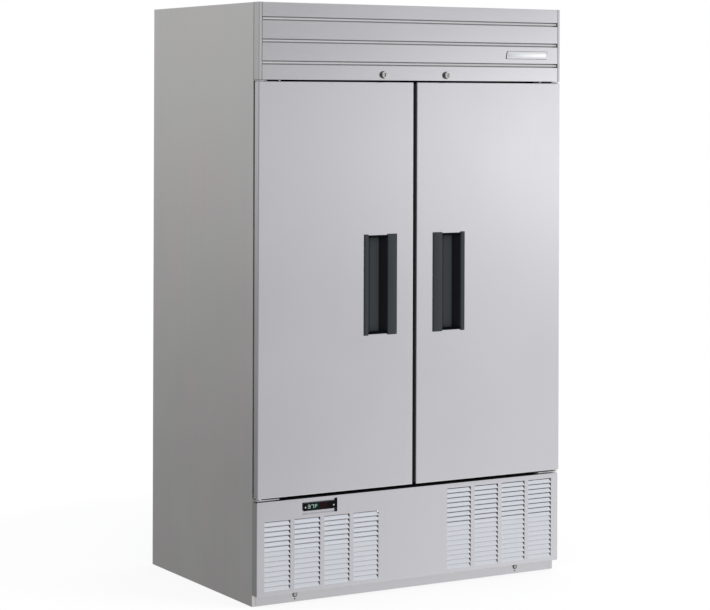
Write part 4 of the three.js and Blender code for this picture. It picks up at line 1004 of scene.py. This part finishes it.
# ------------------------------------------------------------------ stage
# brightness of the studio round the object, by azimuth in degrees: 0 in front (-Y), 90 at +X, -90 at -X
AZ_TOP = [(-180, 0.60), (-150, 0.56), (-120, 0.48), (-80, 0.26), (-45, 0.24), (-18, 0.30), (5, 0.38), (20, 0.44), (26, 0.48), (28.3, 0.53), (31.5, 0.60), (35.6, 0.58), (40, 0.80), (60, 1.20), (100, 0.62), (140, 0.58), (180, 0.60)]
AZ_SKY = [(-180, 0.60), (-150, 0.56), (-120, 0.48), (-80, 0.16), (-45, 0.14), (-18, 0.20), (5, 0.26), (20, 0.30), (27, 0.35), (28.6, 0.39), (29.4, 0.48), (31.2, 0.52), (32.4, 0.59), (34.4, 0.66), (35.6, 0.82), (40, 1.15), (60, 1.45), (100, 0.58), (140, 0.56), (180, 0.60)]
AZ_HOR = [(-180, 0.56), (-150, 0.52), (-120, 0.44), (-80, 0.20), (-45, 0.20), (-18, 0.30), (5, 0.40), (20, 0.50), (26, 0.58), (29, 0.71), (31, 0.96), (33, 1.27), (35.4, 1.62), (42, 1.78), (60, 1.70), (100, 0.62), (140, 0.54), (180, 0.56)]
AZ_FAR = [(-180, 0.34), (-150, 0.27), (-120, 0.27), (-80, 0.20), (-45, 0.20), (-18, 0.27), (5, 0.33), (20, 0.38), (27, 0.44), (31, 0.57), (35, 0.64), (42, 0.74), (60, 0.85), (100, 0.42), (140, 0.36), (180, 0.34)]
AZ_NEAR = [(-180, 0.27), (-150, 0.21), (-120, 0.25), (-80, 0.40), (-45, 0.48), (-18, 0.50), (5, 0.48), (20, 0.46), (27, 0.54), (29, 0.655), (31, 0.79), (33, 0.80), (35.6, 0.87), (42, 0.96), (60, 0.96), (100, 0.36), (140, 0.30), (180, 0.27)]


def ring(g, x, y, table):
    phi = g.math("ARCTAN2", x, g.math("MULTIPLY", y, -1.0))
    u = g.math("MULTIPLY_ADD", phi, 1 / (2 * math.pi), 0.5)
    return g.ramp(u, [((a + 180) / 360, (v / 2.0, v / 2.0, v / 2.0 * 1.012)) for a, v in table])


bm = bmesh.new()
bmesh.ops.create_grid(bm, x_segments=1, y_segments=1, size=30)
me = bpy.data.meshes.new("floor")
bm.to_mesh(me)
bm.free()
floor = bpy.data.objects.new("floor", me)
floor.location = (0, 0, -0.0006)
bpy.context.scene.collection.objects.link(floor)
g = G("floor_mat")
sep = g.n("ShaderNodeSeparateXYZ")
geo = g.n("ShaderNodeNewGeometry")
g.link(geo.outputs["Position"], sep.inputs[0])
dist = g.math("SQRT", g.math("ADD", g.math("POWER", sep.outputs[0], 2.0), g.math("POWER", sep.outputs[1], 2.0)))
fade = g.math("MAXIMUM", g.math("MULTIPLY_ADD", dist, 1 / 1.2, -0.60 / 1.2, clamp=True), 0.80)
lp = g.n("ShaderNodeLightPath")
dif = g.n("ShaderNodeBsdfDiffuse")
g.link(g.tint((0.97, 0.97, 0.97), g.math("MULTIPLY_ADD", g.noise((1, 1, 1), 3.0), 0.02, 0.99)), dif.inputs[0])
em = g.n("ShaderNodeEmission")
em.inputs[0].default_value = (1, 1, 1, 1)
em.inputs[1].default_value = 1.0
mix1 = g.n("ShaderNodeMixShader")
g.link(fade, mix1.inputs[0])
g.link(dif.outputs[0], mix1.inputs[1])
g.link(em.outputs[0], mix1.inputs[2])
# what brushed metal sees of the floor: the studio ring carried on below the horizon
gem = g.n("ShaderNodeEmission")
inc = g.n("ShaderNodeSeparateXYZ")
g.link(geo.outputs["Incoming"], inc.inputs[0])
rx, ry = g.math("MULTIPLY", inc.outputs[0], -1.0), g.math("MULTIPLY", inc.outputs[1], -1.0)
near = ring(g, rx, ry, AZ_NEAR)
far = ring(g, rx, ry, AZ_FAR)
hor = ring(g, rx, ry, AZ_HOR)
tdown = g.math("MULTIPLY_ADD", inc.outputs[2], 1 / 0.07, -0.11 / 0.07, clamp=True)
thor = g.math("MULTIPLY_ADD", inc.outputs[2], 1 / 0.095, -0.005 / 0.095, clamp=True)
g.link(g.mix(tdown, g.mix(thor, hor, far), near), gem.inputs[0])
gem.inputs[1].default_value = 2.0
mix2 = g.n("ShaderNodeMixShader")
g.link(lp.outputs["Is Glossy Ray"], mix2.inputs[0])
g.link(mix1.outputs[0], mix2.inputs[1])
g.link(gem.outputs[0], mix2.inputs[2])
g.link(mix2.outputs[0], g.out.inputs[0])
me.materials.append(g.m)

# ------------------------------------------------------------------ light
w = bpy.data.worlds.new("studio")
bpy.context.scene.world = w
w.use_nodes = True
nt = w.node_tree
nt.nodes.clear()


class W(G):
    def __init__(self, tree):
        self.t = tree


g = W(nt)
tc = g.n("ShaderNodeTexCoord")
sep = g.n("ShaderNodeSeparateXYZ")
g.link(tc.outputs["Generated"], sep.inputs[0])
def band(a, c):
    return g.math("MULTIPLY_ADD", sep.outputs[2], 1 / (c - a), -a / (c - a), clamp=True)


low_ring = g.mix(band(0.004, 0.018), ring(g, sep.outputs[0], sep.outputs[1], AZ_HOR), ring(g, sep.outputs[0], sep.outputs[1], AZ_SKY))
side_ring = g.mix(band(0.031, 0.037), low_ring, ring(g, sep.outputs[0], sep.outputs[1], AZ_TOP))
up = g.ramp(g.math("MULTIPLY_ADD", sep.outputs[2], 1.0, 0.0, clamp=True), [(0.0, (0, 0, 0)), (0.16, (0.04, 0.04, 0.04)), (0.5, (1, 1, 1))])
col = g.mix(up, side_ring, (0.40, 0.412, 0.432))
bg = g.n("ShaderNodeBackground")
g.link(col, bg.inputs[0])
bg.inputs[1].default_value = 2.0
bg2 = g.n("ShaderNodeBackground")
bg2.inputs[0].default_value = (1, 1, 1, 1)
lp = g.n("ShaderNodeLightPath")
mx2 = g.n("ShaderNodeMixShader")
g.link(g.math("MAXIMUM", lp.outputs["Is Camera Ray"], g.math("MULTIPLY", lp.outputs["Is Diffuse Ray"], 0.9)), mx2.inputs[0])
g.link(bg.outputs[0], mx2.inputs[1])
g.link(bg2.outputs[0], mx2.inputs[2])
outw = g.n("ShaderNodeOutputWorld")
g.link(mx2.outputs[0], outw.inputs[0])


def area(name, loc, target, size, power, color=(1, 1, 1)):
    l = bpy.data.lights.new(name, "AREA")
    l.shape, l.size, l.energy, l.color = "SQUARE", size, power, color
    o = bpy.data.objects.new(name, l)
    o.location = loc
    o.rotation_mode = "QUATERNION"
    o.rotation_quaternion = (Vector(target) - Vector(loc)).to_track_quat("-Z", "Y")
    bpy.context.scene.collection.objects.link(o)
    o.visible_glossy = False
    return o


area("key", (3.4, -4.6, 3.6), (0, 0, 0.9), 2.6, 120)
area("fill", (-3.0, -4.0, 3.0), (0, 0, 1.0), 3.0, 30)

# ------------------------------------------------------------------ camera
F_PX, YAW, ROLL, CYP = 2199.2, math.radians(30.3388), math.radians(0.18376), 97.45
CAM = Vector((-3.96395, -6.76241, 1.67516))
cam = bpy.data.cameras.new("camera")
co = bpy.data.objects.new("camera", cam)
bpy.context.scene.collection.objects.link(co)
cam.sensor_fit, cam.sensor_width, cam.lens = "HORIZONTAL", 36.0, F_PX * 36.0 / 710.0
fwd = Vector((math.sin(YAW), math.cos(YAW), 0))
right = Vector((math.cos(YAW), -math.sin(YAW), 0))
upv = right.cross(fwd)
r2 = right * math.cos(ROLL) + upv * math.sin(ROLL)
u2 = upv * math.cos(ROLL) - right * math.sin(ROLL)
co.matrix_world = Matrix(((r2.x, u2.x, -fwd.x, CAM.x), (r2.y, u2.y, -fwd.y, CAM.y), (r2.z, u2.z, -fwd.z, CAM.z), (0, 0, 0, 1)))
cam.clip_start, cam.clip_end = 0.1, 100
# the lens shift belongs to this one camera place: it goes back to zero when the camera is moved round the object
dr = cam.driver_add("shift_y").driver
dr.type = "SCRIPTED"
v = dr.variables.new()
v.name = "lx"
v.type = "TRANSFORMS"
v.targets[0].id = co
v.targets[0].transform_type = "LOC_X"
v.targets[0].transform_space = "WORLD_SPACE"
dr.expression = "%.6f if abs(lx + 3.96395) < 0.01 else 0" % ((CYP - 305.0) / 710.0)
bpy.context.scene.camera = co

sc = bpy.context.scene
sc.view_settings.view_transform = "Standard"
sc.view_settings.look = "None"
sc.view_settings.exposure = 0.0
sc.view_settings.gamma = 1.0

bpy.context.view_layer.update()
